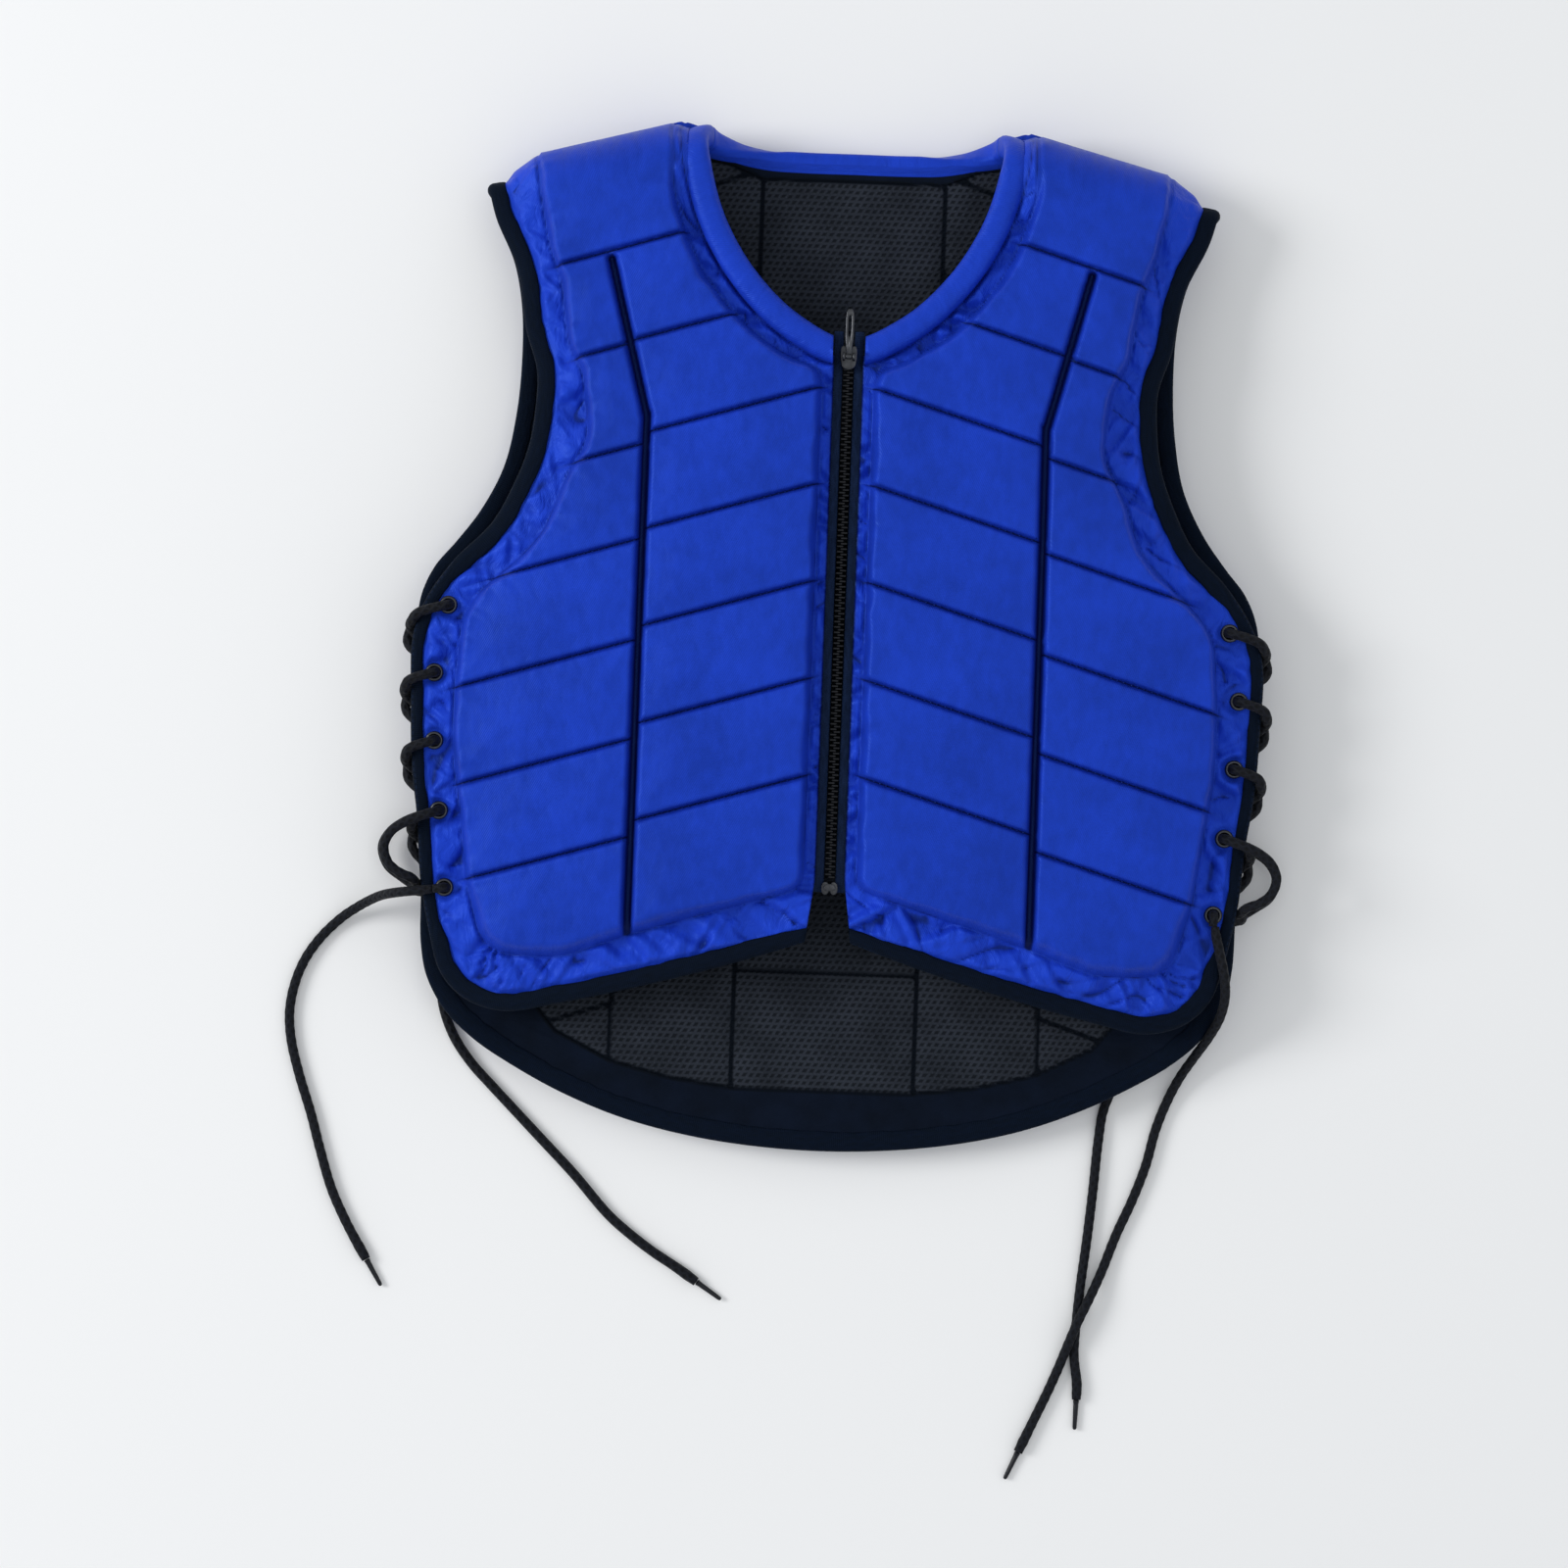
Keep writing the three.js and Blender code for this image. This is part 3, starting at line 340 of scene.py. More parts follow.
def inside(points, ring):
    """Which points lie inside a closed ring."""
    x, y = points.T
    odd = np.zeros(len(points), bool)
    for (x0, y0), (x1, y1) in zip(ring, np.roll(ring, -1, axis=0)):
        if y0 != y1:
            odd ^= ((y0 > y) != (y1 > y)) & (x < (x1 - x0) * (y - y0) / (y1 - y0) + x0)
    return odd


def shut(ring):
    return np.vstack([ring, ring[:1]])


def from_ring(points, ring):
    """Distance from a closed ring, below zero outside it, and how far round the ring."""
    ring = np.asarray(ring, float)
    edge, along = near(points, shut(ring))
    return np.where(inside(points, ring), edge, -edge), along


def flowing(points, step):
    """A smooth line through given points."""
    p = np.asarray(points, float)
    p = np.vstack([2 * p[0] - p[1], p, 2 * p[-1] - p[-2]])
    out = []
    for a, b, c, d in zip(p[:-3], p[1:-2], p[2:-1], p[3:]):
        t1 = math.dist(a, b) ** 0.5
        t2 = t1 + math.dist(b, c) ** 0.5
        t3 = t2 + math.dist(c, d) ** 0.5
        n = max(1, round(math.dist(b, c) / step))
        t = np.linspace(t1, t2, n, endpoint=False)[:, None]
        a1 = (t1 - t) / t1 * a + t / t1 * b
        a2 = (t2 - t) / (t2 - t1) * b + (t - t1) / (t2 - t1) * c
        a3 = (t3 - t) / (t3 - t2) * c + (t - t2) / (t3 - t2) * d
        b1 = (t2 - t) / t2 * a1 + t / t2 * a2
        b2 = (t3 - t) / (t3 - t1) * a2 + (t - t1) / (t3 - t1) * a3
        out.append((t2 - t) / (t2 - t1) * b1 + (t - t1) / (t2 - t1) * b2)
    out.append(p[-2][None])
    return np.vstack(out)


def eased(ring, step=4.0, rounds=4):
    """The same closed ring with small even sides and its corners eased."""
    ring = np.asarray(ring, float)
    out = []
    for a, b in zip(ring, np.roll(ring, -1, axis=0)):
        n = max(1, round(math.dist(a, b) / step))
        out.append(a + (b - a) * (np.arange(n) / n)[:, None])
    out = np.vstack(out)
    for _ in range(rounds):
        out = (np.roll(out, 1, axis=0) + 2 * out + np.roll(out, -1, axis=0)) / 4
    return out


def lengths(line):
    """Distance run along a line at each of its points."""
    steps = np.linalg.norm(np.diff(np.asarray(line, float), axis=0), axis=1)
    return np.concatenate([[0.0], np.cumsum(steps)])


def ways(line):
    """Direction of a line at each of its points."""
    way = np.gradient(line, axis=0)
    return way / np.linalg.norm(way, axis=1)[:, None]


def edge_at(line, d):
    """Half width of the vest at one height, where its outer edge runs."""
    for (x0, d0), (x1, d1) in zip(line[:-1], line[1:]):
        if d0 <= d <= d1:
            return x0 + (x1 - x0) * (d - d0) / (d1 - d0)
    return 0.0


def inset(d):
    """How far an eyelet sits in from the edge: the chest's a little further than the waist's."""
    return 13.6 if d < 300 else 12.8


def eyelet_centres(half, both=False):
    """Middles of the eyelet holes of one half, on one hand or, on the back, on both."""
    holes = [(edge_at(half.edge, d) - inset(d), float(d)) for d in EYELET_ROWS]
    return holes + ([(-x, d) for x, d in holes] if both and half is BACK else [])


def to_the_other_hand(line):
    """A line that ends in the middle, carried on to the other hand."""
    return line + [[-x, d] for x, d in line[-2::-1]]


# Meshes.

def mesh_piece(name, points, faces, material, uv=None, marks=None, facing=None):
    """A new object from points and faces, its flat place in the cloth kept as its UV map."""
    data = bpy.data.meshes.new(name)
    data.from_pydata(np.asarray(points, float).tolist(), [],
                     faces.tolist() if isinstance(faces, np.ndarray) else faces)
    turn_outwards(data, facing)
    for mark, values in (marks or {}).items():
        data.attributes.new(mark, "FLOAT", "POINT").data.foreach_set(
            "value", np.asarray(values, np.float32))
    if uv is not None:
        index = np.empty(len(data.loops), np.int32)
        data.loops.foreach_get("vertex_index", index)
        layer = data.uv_layers.new(name="Cloth")
        layer.data.foreach_set("uv", np.asarray(uv, np.float32)[index].ravel())
    data.polygons.foreach_set("use_smooth", [True] * len(data.polygons))
    data.materials.append(material)
    data.validate()
    obj = bpy.data.objects.new(name, data)
    bpy.context.collection.objects.link(obj)
    return obj


def turn_outwards(data, facing):
    """Makes all faces look out of the piece, or, on an open sheet, up or down."""
    net = bmesh.new()
    net.from_mesh(data)
    bmesh.ops.recalc_face_normals(net, faces=net.faces)
    if facing:
        total = sum((face.normal.z * face.calc_area() for face in net.faces), 0.0)
        if total * facing < 0:
            bmesh.ops.reverse_faces(net, faces=net.faces)
    net.to_mesh(data)
    net.free()


def settle(piece, node, slot, body="vest"):
    """Lets a piece stand for one solid of the frame, on that solid's body; its slot is not used.
    """
    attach(piece, body)
    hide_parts(node)
    return piece


def skin(rows, columns, closed=False):
    """Quads over a net of points kept row by row."""
    i, j = np.meshgrid(np.arange(rows - 1), np.arange(columns - (0 if closed else 1)),
                       indexing="ij")
    k = (j + 1) % columns
    return np.stack([i * columns + j, i * columns + k, (i + 1) * columns + k,
                     (i + 1) * columns + j], axis=-1).reshape(-1, 4)


def tube(rows, sides, flip=False, crossed=False):
    """Faces of a closed tube of rings, both its ends capped. Crossed caps first run the other
    way round than the tube, so that they are cut into triangles from another corner."""
    quads = skin(rows, sides, closed=True)
    caps = [list(range(sides)), list(range(sides * rows - 1, sides * (rows - 1) - 1, -1))]
    if flip:
        quads = quads[:, ::-1]
    if flip == crossed:
        caps = [cap[::-1] for cap in caps]
    return quads.tolist() + caps


def circle(sides):
    turn = np.arange(sides) * 2 * math.pi / sides
    return np.cos(turn), np.sin(turn)


def sweep(name, line, section, side, material, flip=False, stop=None):
    """A tape or roll: a closed section of [inwards, height] carried along a pattern's edge."""
    line = np.asarray(line, float)
    way = ways(line)
    inward = np.stack([-way[:, 1], way[:, 0]], axis=1)
    run = lengths(line)
    sections = [section(q, s) for q, s in zip(line, run)]
    n = len(sections[0])
    flat = np.array([[*(q + v * a), h] for q, v, rows in zip(line, inward, sections)
                     for a, h in rows])
    around = np.array([lengths(rows) for rows in sections]).ravel()
    if stop:
        flat[:, 0] = np.maximum(flat[:, 0], table(stop, flat[:, 1]))
    points = bend(side, *flat.T)
    if flip:
        points[:, 0] *= -1
    uv = np.stack([np.repeat(run, n), around], axis=1) * MM
    # On a satin roll the slack mark of 0.45 lightens it with painted highlight, and the gap mark
    # keeps it clear of painted shade.
    marks = {"gap": np.full(len(points), MARK_MOST), "slack": np.full(len(points), 0.45)}
    return mesh_piece(name, points, tube(len(line), n, flip, crossed=True), material, uv, marks)


def rope(name, line, radius, taper=0.0):
    """A round lace along a line of points in millimetres, its plait standing out a little."""
    sides = 16
    line = np.asarray(line, float) * MM
    way = ways(line)
    run = lengths(line)
    side = np.cross(way[0], (0, 0, 1.0) if abs(way[0][2]) < 0.9 else (0, 1.0, 0))
    turns = np.arange(sides) / sides
    points = []
    for q, t, s in zip(line, way, run):
        side = side - t * np.dot(side, t)
        side /= np.linalg.norm(side)
        up = np.cross(t, side)
        end = smooth(min(s, run[-1] - s) / (2.5 * radius))
        swell = 1 + taper * (1 - smooth((run[-1] - s) / 0.02))
        plait = np.maximum(np.sin(2 * math.pi * (4 * turns + s / PLAIT)),
                           np.sin(2 * math.pi * (4 * turns - s / PLAIT)))
        r = radius * (0.86 + 0.14 * end) * swell + PLAIT_RELIEF * (plait - 0.6)
        points.extend(q + np.outer(np.cos(2 * math.pi * turns) * r, side)
                      + np.outer(np.sin(2 * math.pi * turns) * r, up))
    uv = np.stack([np.repeat(run, sides), np.tile(turns, len(line))], axis=1)
    return mesh_piece(name, points, tube(len(line), sides, True), finishes()["braid"], uv)


def turned(name, profile, centre, up, material, sides=32):
    """A ring turned about the vertical from [radius, height] points, in millimetres."""
    profile = np.asarray(profile, float)
    cos, sin = circle(sides)
    points = np.stack([
        np.outer(cos, profile[:, 0]) + centre[0],
        np.outer(sin, profile[:, 0]) + centre[1],
        np.repeat(profile[None, :, 1] * up, sides, axis=0) + centre[2]], axis=-1)
    n = len(profile)
    i, j = np.meshgrid(np.arange(sides), np.arange(n), indexing="ij")
    k, l = (i + 1) % sides, (j + 1) % n
    faces = np.stack([i * n + j, k * n + j, k * n + l, i * n + l], axis=-1).reshape(-1, 4)
    return mesh_piece(name, points.reshape(-1, 3) * MM, faces[:, ::-1] if up > 0 else faces,
                      material)


# Materials: each finish is a small tree of nodes.

class Wire:
    """The output of a node. Sums and products with it add the nodes that work them out."""

    def __init__(self, finish, socket):
        self.finish, self.socket = finish, socket

    def maths(self, operation, *others):
        return self.finish.node("ShaderNodeMath", dict(enumerate((self, *others))),
                                operation=operation)

    def __add__(self, other):
        return self.maths("ADD", other)

    def __sub__(self, other):
        return self.maths("SUBTRACT", other)

    def __mul__(self, other):
        return self.maths("MULTIPLY", other)

    def wave(self, pitch):
        return (self * (2 * math.pi / pitch)).maths("SINE")

    def ranged(self, low, high, to_low=0.0, to_high=1.0):
        return self.finish.node("ShaderNodeMapRange", dict(enumerate(
            (self, low, high, to_low, to_high))))


class Finish:
    """A material in the making. Numbers that are even all over stand on the shader itself."""

    def __init__(self, name, roughness, specular, **sockets):
        self.material = bpy.data.materials.new(name)
        self.material.use_nodes = True
        self.tree = self.material.node_tree
        self.shader = self.tree.nodes["Principled BSDF"]
        self.feed(self.shader, {"Roughness": roughness, "Specular IOR Level": specular,
                               **sockets})

    def feed(self, node, inputs):
        for key, value in inputs.items():
            if isinstance(value, Wire):
                self.tree.links.new(value.socket, node.inputs[key])
            else:
                node.inputs[key].default_value = value

    def node(self, kind, inputs=None, output=0, **settings):
        made = self.tree.nodes.new(kind)
        for key, value in settings.items():
            setattr(made, key, value)
        self.feed(made, inputs or {})
        return Wire(self, made.outputs[output])

    def place(self, kind="UV"):
        return self.node("ShaderNodeTexCoord", output=kind)

    def parts(self, vector):
        """The first two numbers of a vector."""
        made = self.node("ShaderNodeSeparateXYZ", {0: vector}).socket.node
        return Wire(self, made.outputs["X"]), Wire(self, made.outputs["Y"])

    def mark(self, name):
        return self.node("ShaderNodeAttribute", output="Fac", attribute_name=name)

    def grain(self, where, scale, detail=3.0, roughness=0.5, distortion=0.0):
        return self.node("ShaderNodeTexNoise", {
            "Vector": where, "Scale": scale, "Detail": detail, "Roughness": roughness,
            "Distortion": distortion}, "Fac")

    def stretched(self, where, scale, turn=0.0):
        return self.node("ShaderNodeMapping", {
            "Vector": where, "Scale": scale, "Rotation": (0, 0, turn)}, "Vector")

    def mixed(self, amount, first, second):
        return self.node("ShaderNodeMix", {0: amount, 6: first, 7: second}, 2,
                         data_type="RGBA")

    def shades(self, amount, colour, low, high):
        """One colour made darker and lighter by an amount."""
        return self.mixed(amount, rgba(colour, low), rgba(colour, high))

    def done(self, colour, rough=None, relief=None, depth=0.0, strength=0.8):
        self.feed(self.shader, {"Base Color": colour})
        if rough:
            self.feed(self.shader, {"Roughness": rough})
        if relief:
            self.feed(self.shader, {"Normal": self.node("ShaderNodeBump", {
                "Height": relief, "Distance": depth, "Strength": strength}, "Normal")})
        return self.material


def rgba(colour, factor=1.0):
    return (colour[0] * factor, colour[1] * factor, colour[2] * factor, 1.0)


def satin_finish(name, ribbed):
    """Satin cover: fine weave, soft tone changes, painted shade in its thin seams, folds and
    valleys, and slack, drawn margins lightened by painted highlight.
    """
    made = Finish(name, 0.45, 0.5, **{
        "Specular Tint": (0.12, 0.3, 1.0, 1.0), "Sheen Weight": 0.08, "Sheen Roughness": 0.3,
        "Sheen Tint": (0.1, 0.28, 1.0, 1.0)})
    cloth = made.place()
    if ribbed:
        threads, uneven, bands = made.stretched(cloth, (40, 330, 1)), 0.8, "Y"
    else:
        threads, uneven, bands = made.stretched(cloth, (300, 300, 1), math.radians(28)), 0.6, "X"
    weave = made.node("ShaderNodeTexWave", {
        "Vector": threads, "Scale": 1.0, "Distortion": uneven, "Detail": 2.0}, "Fac",
        bands_direction=bands)
    crumple = made.grain(made.stretched(cloth, (150, 95, 1)), 1.0, 4.0, 0.55)
    cloud = made.grain(cloth, 18.0)
    grit = made.grain(cloth, 1100.0, 2.0)
    gap, slack = made.mark("gap"), made.mark("slack")
    # deep holds the painted shade colour of seams, folds and valleys.
    satin, deep = colours().satin, colours().satin_painted_shade

    tone = cloud * 0.45 + (crumple * 0.35 + grit * 0.2)
    colour = made.shades(tone.ranged(0.38, 0.62), satin, 0.8, 1.22)
    colour = made.mixed(weave.ranged(0.2, 0.9, 0.0, 0.22), colour, rgba(satin, 0.5))
    # Painted highlight: the slack mark lightens the cover on its loose margins, along the pads'
    # rims and beside the seams.
    colour = made.mixed(slack * 0.5, colour, rgba(satin, 1.5))
    # Painted shade: a soft dark halo beside the seams, folds and valleys, then a darker core in
    # them, both set by the gap mark.
    colour = made.mixed(gap.ranged(0.25, 2.6, 0.34, 0.0), colour, rgba(deep, 1.6))
    colour = made.mixed(gap.ranged(0.1, 0.95, 1.0, 0.0), colour, rgba(deep))

    drawn = made.grain(made.stretched(cloth, (125, 75, 1), math.radians(24)), 1.0,
                       distortion=1.4)
    relief = crumple * 0.5 + (weave * 0.07 + drawn * slack * 1.7)
    relief = relief + gap.ranged(0.0, 1.6, 0.0, 0.55)
    return made.done(colour, crumple.ranged(0.3, 0.7, 0.38, 0.54), relief, 0.0011)


def tape_finish(name, colour, stitched_at=None):
    """Woven edge tape with fine cross ribs and, where it is sewn, a row of stitches."""
    made = Finish(name, 0.72, 0.1, **{
        "Specular Tint": (0.45, 0.7, 1.0, 1.0), "Sheen Weight": 0.015,
        "Sheen Tint": (0.45, 0.7, 1.0, 1.0), "Sheen Roughness": 0.5})
    cloth = made.place()
    along, across = made.parts(cloth)
    ribs = along.wave(0.0011)
    wear = made.grain(made.stretched(cloth, (140, 500, 1)), 1.0, 4.0, 0.6)
    colours_of_wear = made.shades(wear.ranged(0.35, 0.7), colour, 0.75, 1.5)
    relief = ribs * 0.1 + wear * 0.8
    if stitched_at:
        thread = (across - stitched_at).maths("ABSOLUTE").maths("LESS_THAN", 0.00045)
        stitch = thread * along.wave(0.0034).maths("GREATER_THAN", -0.35)
        colours_of_wear = made.mixed(stitch, colours_of_wear, rgba(colour, 2.6))
        relief = relief + (stitch * 0.55 - thread * 0.5)
    return made.done(colours_of_wear, wear.ranged(0.3, 0.7, 0.66, 0.8), relief, 0.0008)


def mesh_finish():
    """Knitted spacer mesh with a honeycomb of small holes, and plain cloth round its border."""
    made = Finish("spacer_mesh", 0.78, 0.1, **{
        "Specular Tint": (0.6, 0.8, 1.0, 1.0), "Sheen Weight": 0.015})
    cloth = made.place()
    along, across = made.parts(cloth)
    rows = across * 290.0
    honeycomb = made.node("ShaderNodeCombineXYZ", {"X": along * 250.0 + rows * 0.5, "Y": rows})
    cells = made.node("ShaderNodeTexVoronoi", {
        "Vector": honeycomb, "Scale": 1.0, "Randomness": 0.14}, "Distance",
        voronoi_dimensions="2D", feature="DISTANCE_TO_EDGE")
    border = made.mark("border").ranged(-0.4, 0.6, 1.0, 0.0)
    hole = cells.ranged(0.16, 0.34) * (border * -1.0 + 1.0)
    cloud = made.grain(cloth, 40.0).ranged(0.35, 0.65)
    fluff = made.grain(cloth, 700.0).ranged(0.55, 0.75, 0.0, 0.45)
    lining, plain = colours().lining, colours().binding

    base = made.shades(cloud, lining, 0.8, 1.25)
    base = made.mixed(fluff, base, rgba(lining, 2.2))
    base = made.mixed(hole * 0.85, base, rgba(lining, 0.22))
    base = made.mixed(border, base, made.shades(cloud, plain, 0.8, 1.5))
    base = made.mixed(made.mark("gap").ranged(0.9, 1.9, 1.0, 0.0), base, rgba(plain, 0.35))
    folds = made.grain(made.stretched(cloth, (60, 130, 1)), 1.0)
    return made.done(base, None, folds * border * 3.0 - hole * 0.8, 0.0007)


def lace_finish():
    """Braided lace: the plait in relief, its colour lighter on the ridges and darker between them.
    """
    made = Finish("plaited_lace", 0.66, 0.14, **{"Sheen Weight": 0.03, "Sheen Roughness": 0.45})
    along, across = made.parts(made.place())
    run, turn = along * (2 * math.pi / PLAIT), across * (8 * math.pi)
    plait = (turn + run).maths("SINE").maths("MAXIMUM", (turn - run).maths("SINE"))
    fuzz = made.grain(made.place("Object"), 900.0)
    lace = colours().lace
    base = made.shades(plait.ranged(-0.2, 1.0), lace, 0.45, 1.35)
    base = made.mixed(fuzz.ranged(0.5, 0.8, 0.0, 0.5), base, rgba(lace, 2.2))
    relief = plait * 0.5 + (along.wave(0.0007) * 0.08 + fuzz * 0.3)
    return made.done(base, None, relief, 0.0006)


def metal_finish(name, colour, roughness):
    """Dark plated metal with fine scratches and slightly bright, worn edges."""
    made = Finish(name, roughness, 0.5, Metallic=1.0)
    where = made.place("Object")
    fine = made.grain(where, 2600.0, 4.0, 0.65)
    worn = made.node("ShaderNodeNewGeometry", output="Pointiness").ranged(0.52, 0.6, 0.0, 0.5)
    base = made.shades(made.grain(where, 330.0).ranged(0.35, 0.7), colour, 0.8, 1.25)
    base = made.mixed(worn, base, rgba(colour, 2.6))
    rough = fine.ranged(0.3, 0.75, roughness - 0.06, roughness + 0.14)
    return made.done(base, rough, fine, 0.00012, 0.4)


def plastic_finish(name, colour, roughness):
    """Moulded nylon of the zip teeth and the lace tips."""
    made = Finish(name, roughness, 0.25)
    fine = made.grain(made.place("Object"), 1800.0)
    base = made.shades(fine.ranged(0.35, 0.7), colour, 0.8, 1.3)
    rough = fine.ranged(0.3, 0.7, roughness - 0.05, roughness + 0.08)
    return made.done(base, rough, fine, 0.0001, 0.4)


def floor_finish():
    made = Finish("pale_floor", 0.9, 0.1)
    cloud = made.grain(made.place("Object"), 1.4, 2.0)
    return made.done(made.shades(cloud, (1, 1, 1), 0.83, 0.85))


FINISHES = {}


def finishes():
    """The vest's finishes by name, made once."""
    if not FINISHES:
        tone = colours()
        FINISHES.update(
            front_satin=satin_finish("twill_satin", False),
            back_satin=satin_finish("ribbed_satin", True),
            binding=tape_finish("woven_edge_tape", tone.binding, 0.0125),
            zip_tape=tape_finish("woven_zip_tape", [5.0 * v for v in tone.binding]),
            mesh=mesh_finish(),
            braid=lace_finish(),
            gunmetal=metal_finish("gunmetal", tone.metal, 0.34),
            zip_nylon=plastic_finish("zip_nylon", tone.lace, 0.4),
            tip=plastic_finish("lace_tip_nylon", tone.lace, 0.35))
    return FINISHES


# The quilted panels.

def cloth_net(step, x_low, d_high, flared=False):
    """Flat net of points whose first row follows the shoulder fold."""
    columns = max(2, round((WIDEST - x_low) / step)) + 1
    rows = round(d_high / step) + 1
    x, t = np.meshgrid(np.linspace(x_low, WIDEST, columns), np.linspace(0, d_high, rows))
    d = t + table(FOLD, np.abs(x), SHOULDER_BLUR) * np.clip(1 - t / EVEN_BY, 0, 1)
    if flared:
        x = x + table(ZIP_FLARE, d) * np.clip(1 - (x - x_low) / FLARE_REACH, 0, 1)
    return x, d


def kept_cells(half, x, d, inset_by):
    """Cells of the net that belong to one panel, with round eyelet holes cut cleanly."""
    ring = np.array([[206, PAST_FOLD], *half.edge, *half.foot, *half.neck[::-1],
                     [80, PAST_FOLD]], float)
    cx, cd = ((v[:-1, :-1] + v[1:, :-1] + v[:-1, 1:] + v[1:, 1:]) / 4 for v in (x, d))
    across = np.maximum(np.abs(cx), 0.01) if half is BACK else cx
    centre = np.stack([across.ravel(), cd.ravel()], axis=1)
    cell = (inside(centre, ring) & (near(centre, flowing(half.edge, EDGE_STEP))[0] > inset_by)
            & (near(centre, flowing(half.neck, EDGE_STEP))[0] > half.under_band)).reshape(cx.shape)
    for hx, hd in eyelet_centres(half, True):
        cell &= np.hypot(cx - hx, cd - hd) > HOLE - HOLE_RIM
    for hx, hd in eyelet_centres(half, True):
        gap = np.hypot(x - hx, d - hd)
        scale = np.where(gap < HOLE, HOLE / np.maximum(gap, 1e-6), 1)
        x[:] = hx + (x - hx) * scale
        d[:] = hd + (d - hd) * scale
    return cell


def meet_seams(half, x, d):
    """Moves the nearest point of each column of the net onto every narrow seam."""
    step = d[-1, 0] - d[-2, 0]
    clear = np.ones(x.shape, bool)
    for hx, hd in eyelet_centres(half, True):
        clear &= np.hypot(x - hx, d - hd) > EYELET_CLEAR
    for (xa, da), (xb, db), width in half.grooves:
        if width > WIDE_SEAM:
            continue
        line = da + (np.abs(x) - xa) * (db - da) / (xb - xa)
        off = np.where((np.abs(x) > xa) & (np.abs(x) < xb) & clear, np.abs(d - line), FAR)
        i = off.argmin(axis=0)
        j = np.nonzero(off.min(axis=0) < 0.75 * step)[0]
        d[i[j], j] = line[i[j], j]


def sheet_mesh(name, side, x, d, h, cell, material, marks, facing, mirror, wall=None):
    """Turns the kept cells of a net into a mesh on the worn shape, with a turned-in rim."""
    rows, columns = x.shape
    faces = skin(rows, columns)[cell.ravel()]
    points = bend(side, x.ravel(), d.ravel(), h.ravel())
    uv = np.stack([x.ravel(), d.ravel()], axis=1) * MM
    if wall is not None:
        rim = []
        index = np.arange(rows * columns).reshape(rows, columns)
        full = np.pad(cell, 1)
        for di, dj, a, b in ((-1, 0, (0, 0), (0, 1)), (1, 0, (1, 1), (1, 0)),
                             (0, -1, (1, 0), (0, 0)), (0, 1, (0, 1), (1, 1))):
            other = full[1 + di:1 + di + rows - 1, 1 + dj:1 + dj + columns - 1]
            i, j = np.nonzero(cell & ~other)
            rim.append(np.stack([index[i + b[0], j + b[1]], index[i + a[0], j + a[1]]], axis=1))
        rim = np.vstack(rim)
        corners, where = np.unique(rim, return_inverse=True)
        where = where.reshape(rim.shape) + len(points)
        low = bend(side, x.ravel()[corners], d.ravel()[corners], np.full(len(corners), wall))
        points = np.vstack([points, low])
        uv = np.vstack([uv, uv[corners]])
        marks = {k: np.concatenate([v, v[corners]]) for k, v in marks.items()}
        faces = np.vstack([faces, np.column_stack([rim, where[:, ::-1]])])
    used, faces = np.unique(faces, return_inverse=True)
    points, uv = points[used], uv[used]
    if mirror:
        points[:, 0] *= -1
    return mesh_piece(name, points, faces.reshape(-1, 4), material, uv,
                      {k: v[used] for k, v in marks.items()}, facing)


def surroundings(half, x, d):
    """How far each point of a cover lies from its pads' rim, seams, edge, neck and zip."""
    at = SimpleNamespace(x=x.ravel(), d=d.ravel())
    hand = np.where(at.x < 0, -1.0, 1.0)
    points = np.stack([at.x if half is FRONT else np.abs(at.x), at.d], axis=1)
    at.points = points
    pads, line = eased(half.pads), flowing(half.edge, 4.0)
    at.edge, round_pads = from_ring(points, pads)
    at.past = np.maximum(-at.edge, 0)
    at.row, at.column, at.groove = (np.full(len(points), FAR) for _ in range(3))
    at.along = np.zeros(len(points))
    for k, (a, b, width) in enumerate(half.grooves):
        gap, run = near(points, [a, b])
        kind, core = ("column", width * COLUMN_CORE) if width > WIDE_SEAM else ("row", ROW_CORE)
        setattr(at, kind, np.minimum(getattr(at, kind), gap))
        hit = gap - core < at.groove
        at.groove[hit] = (gap - core)[hit]
        at.along[hit] = run[hit] + RUN_APART * k
    at.groove = np.maximum(at.groove, 0)
    at.beside_column = np.maximum(at.column - COLUMN_HALF, 0)

    # Runs are counted from the middle of the hem, so that the gathers join there.
    at.along = at.along * hand
    at.round_pads = (round_pads - near(MIDDLE_HEM, shut(pads))[1]) * hand
    at.outer, round_edge = near(points, line)
    round_edge = (round_edge - near(MIDDLE_HEM, line)[1]) * hand
    at.from_fold = smooth((at.d - table(FOLD, points[:, 0], SHOULDER_BLUR)) / 16)
    collar, round_neck = near(points, flowing(half.neck, EDGE_STEP))
    at.band = collar - half.band
    by_zip = half.zipped & (at.x - ZIP_EDGE < np.minimum(at.outer, collar))
    by_neck = ~by_zip & (at.band < at.outer)
    at.beside = np.where(by_zip, 1.3 * at.d + 700, np.where(
        by_neck, (round_neck + 400) * hand, round_edge))
    at.depth = np.where(by_zip, at.x - ZIP_EDGE, np.where(by_neck, at.band, at.outer))
    return at


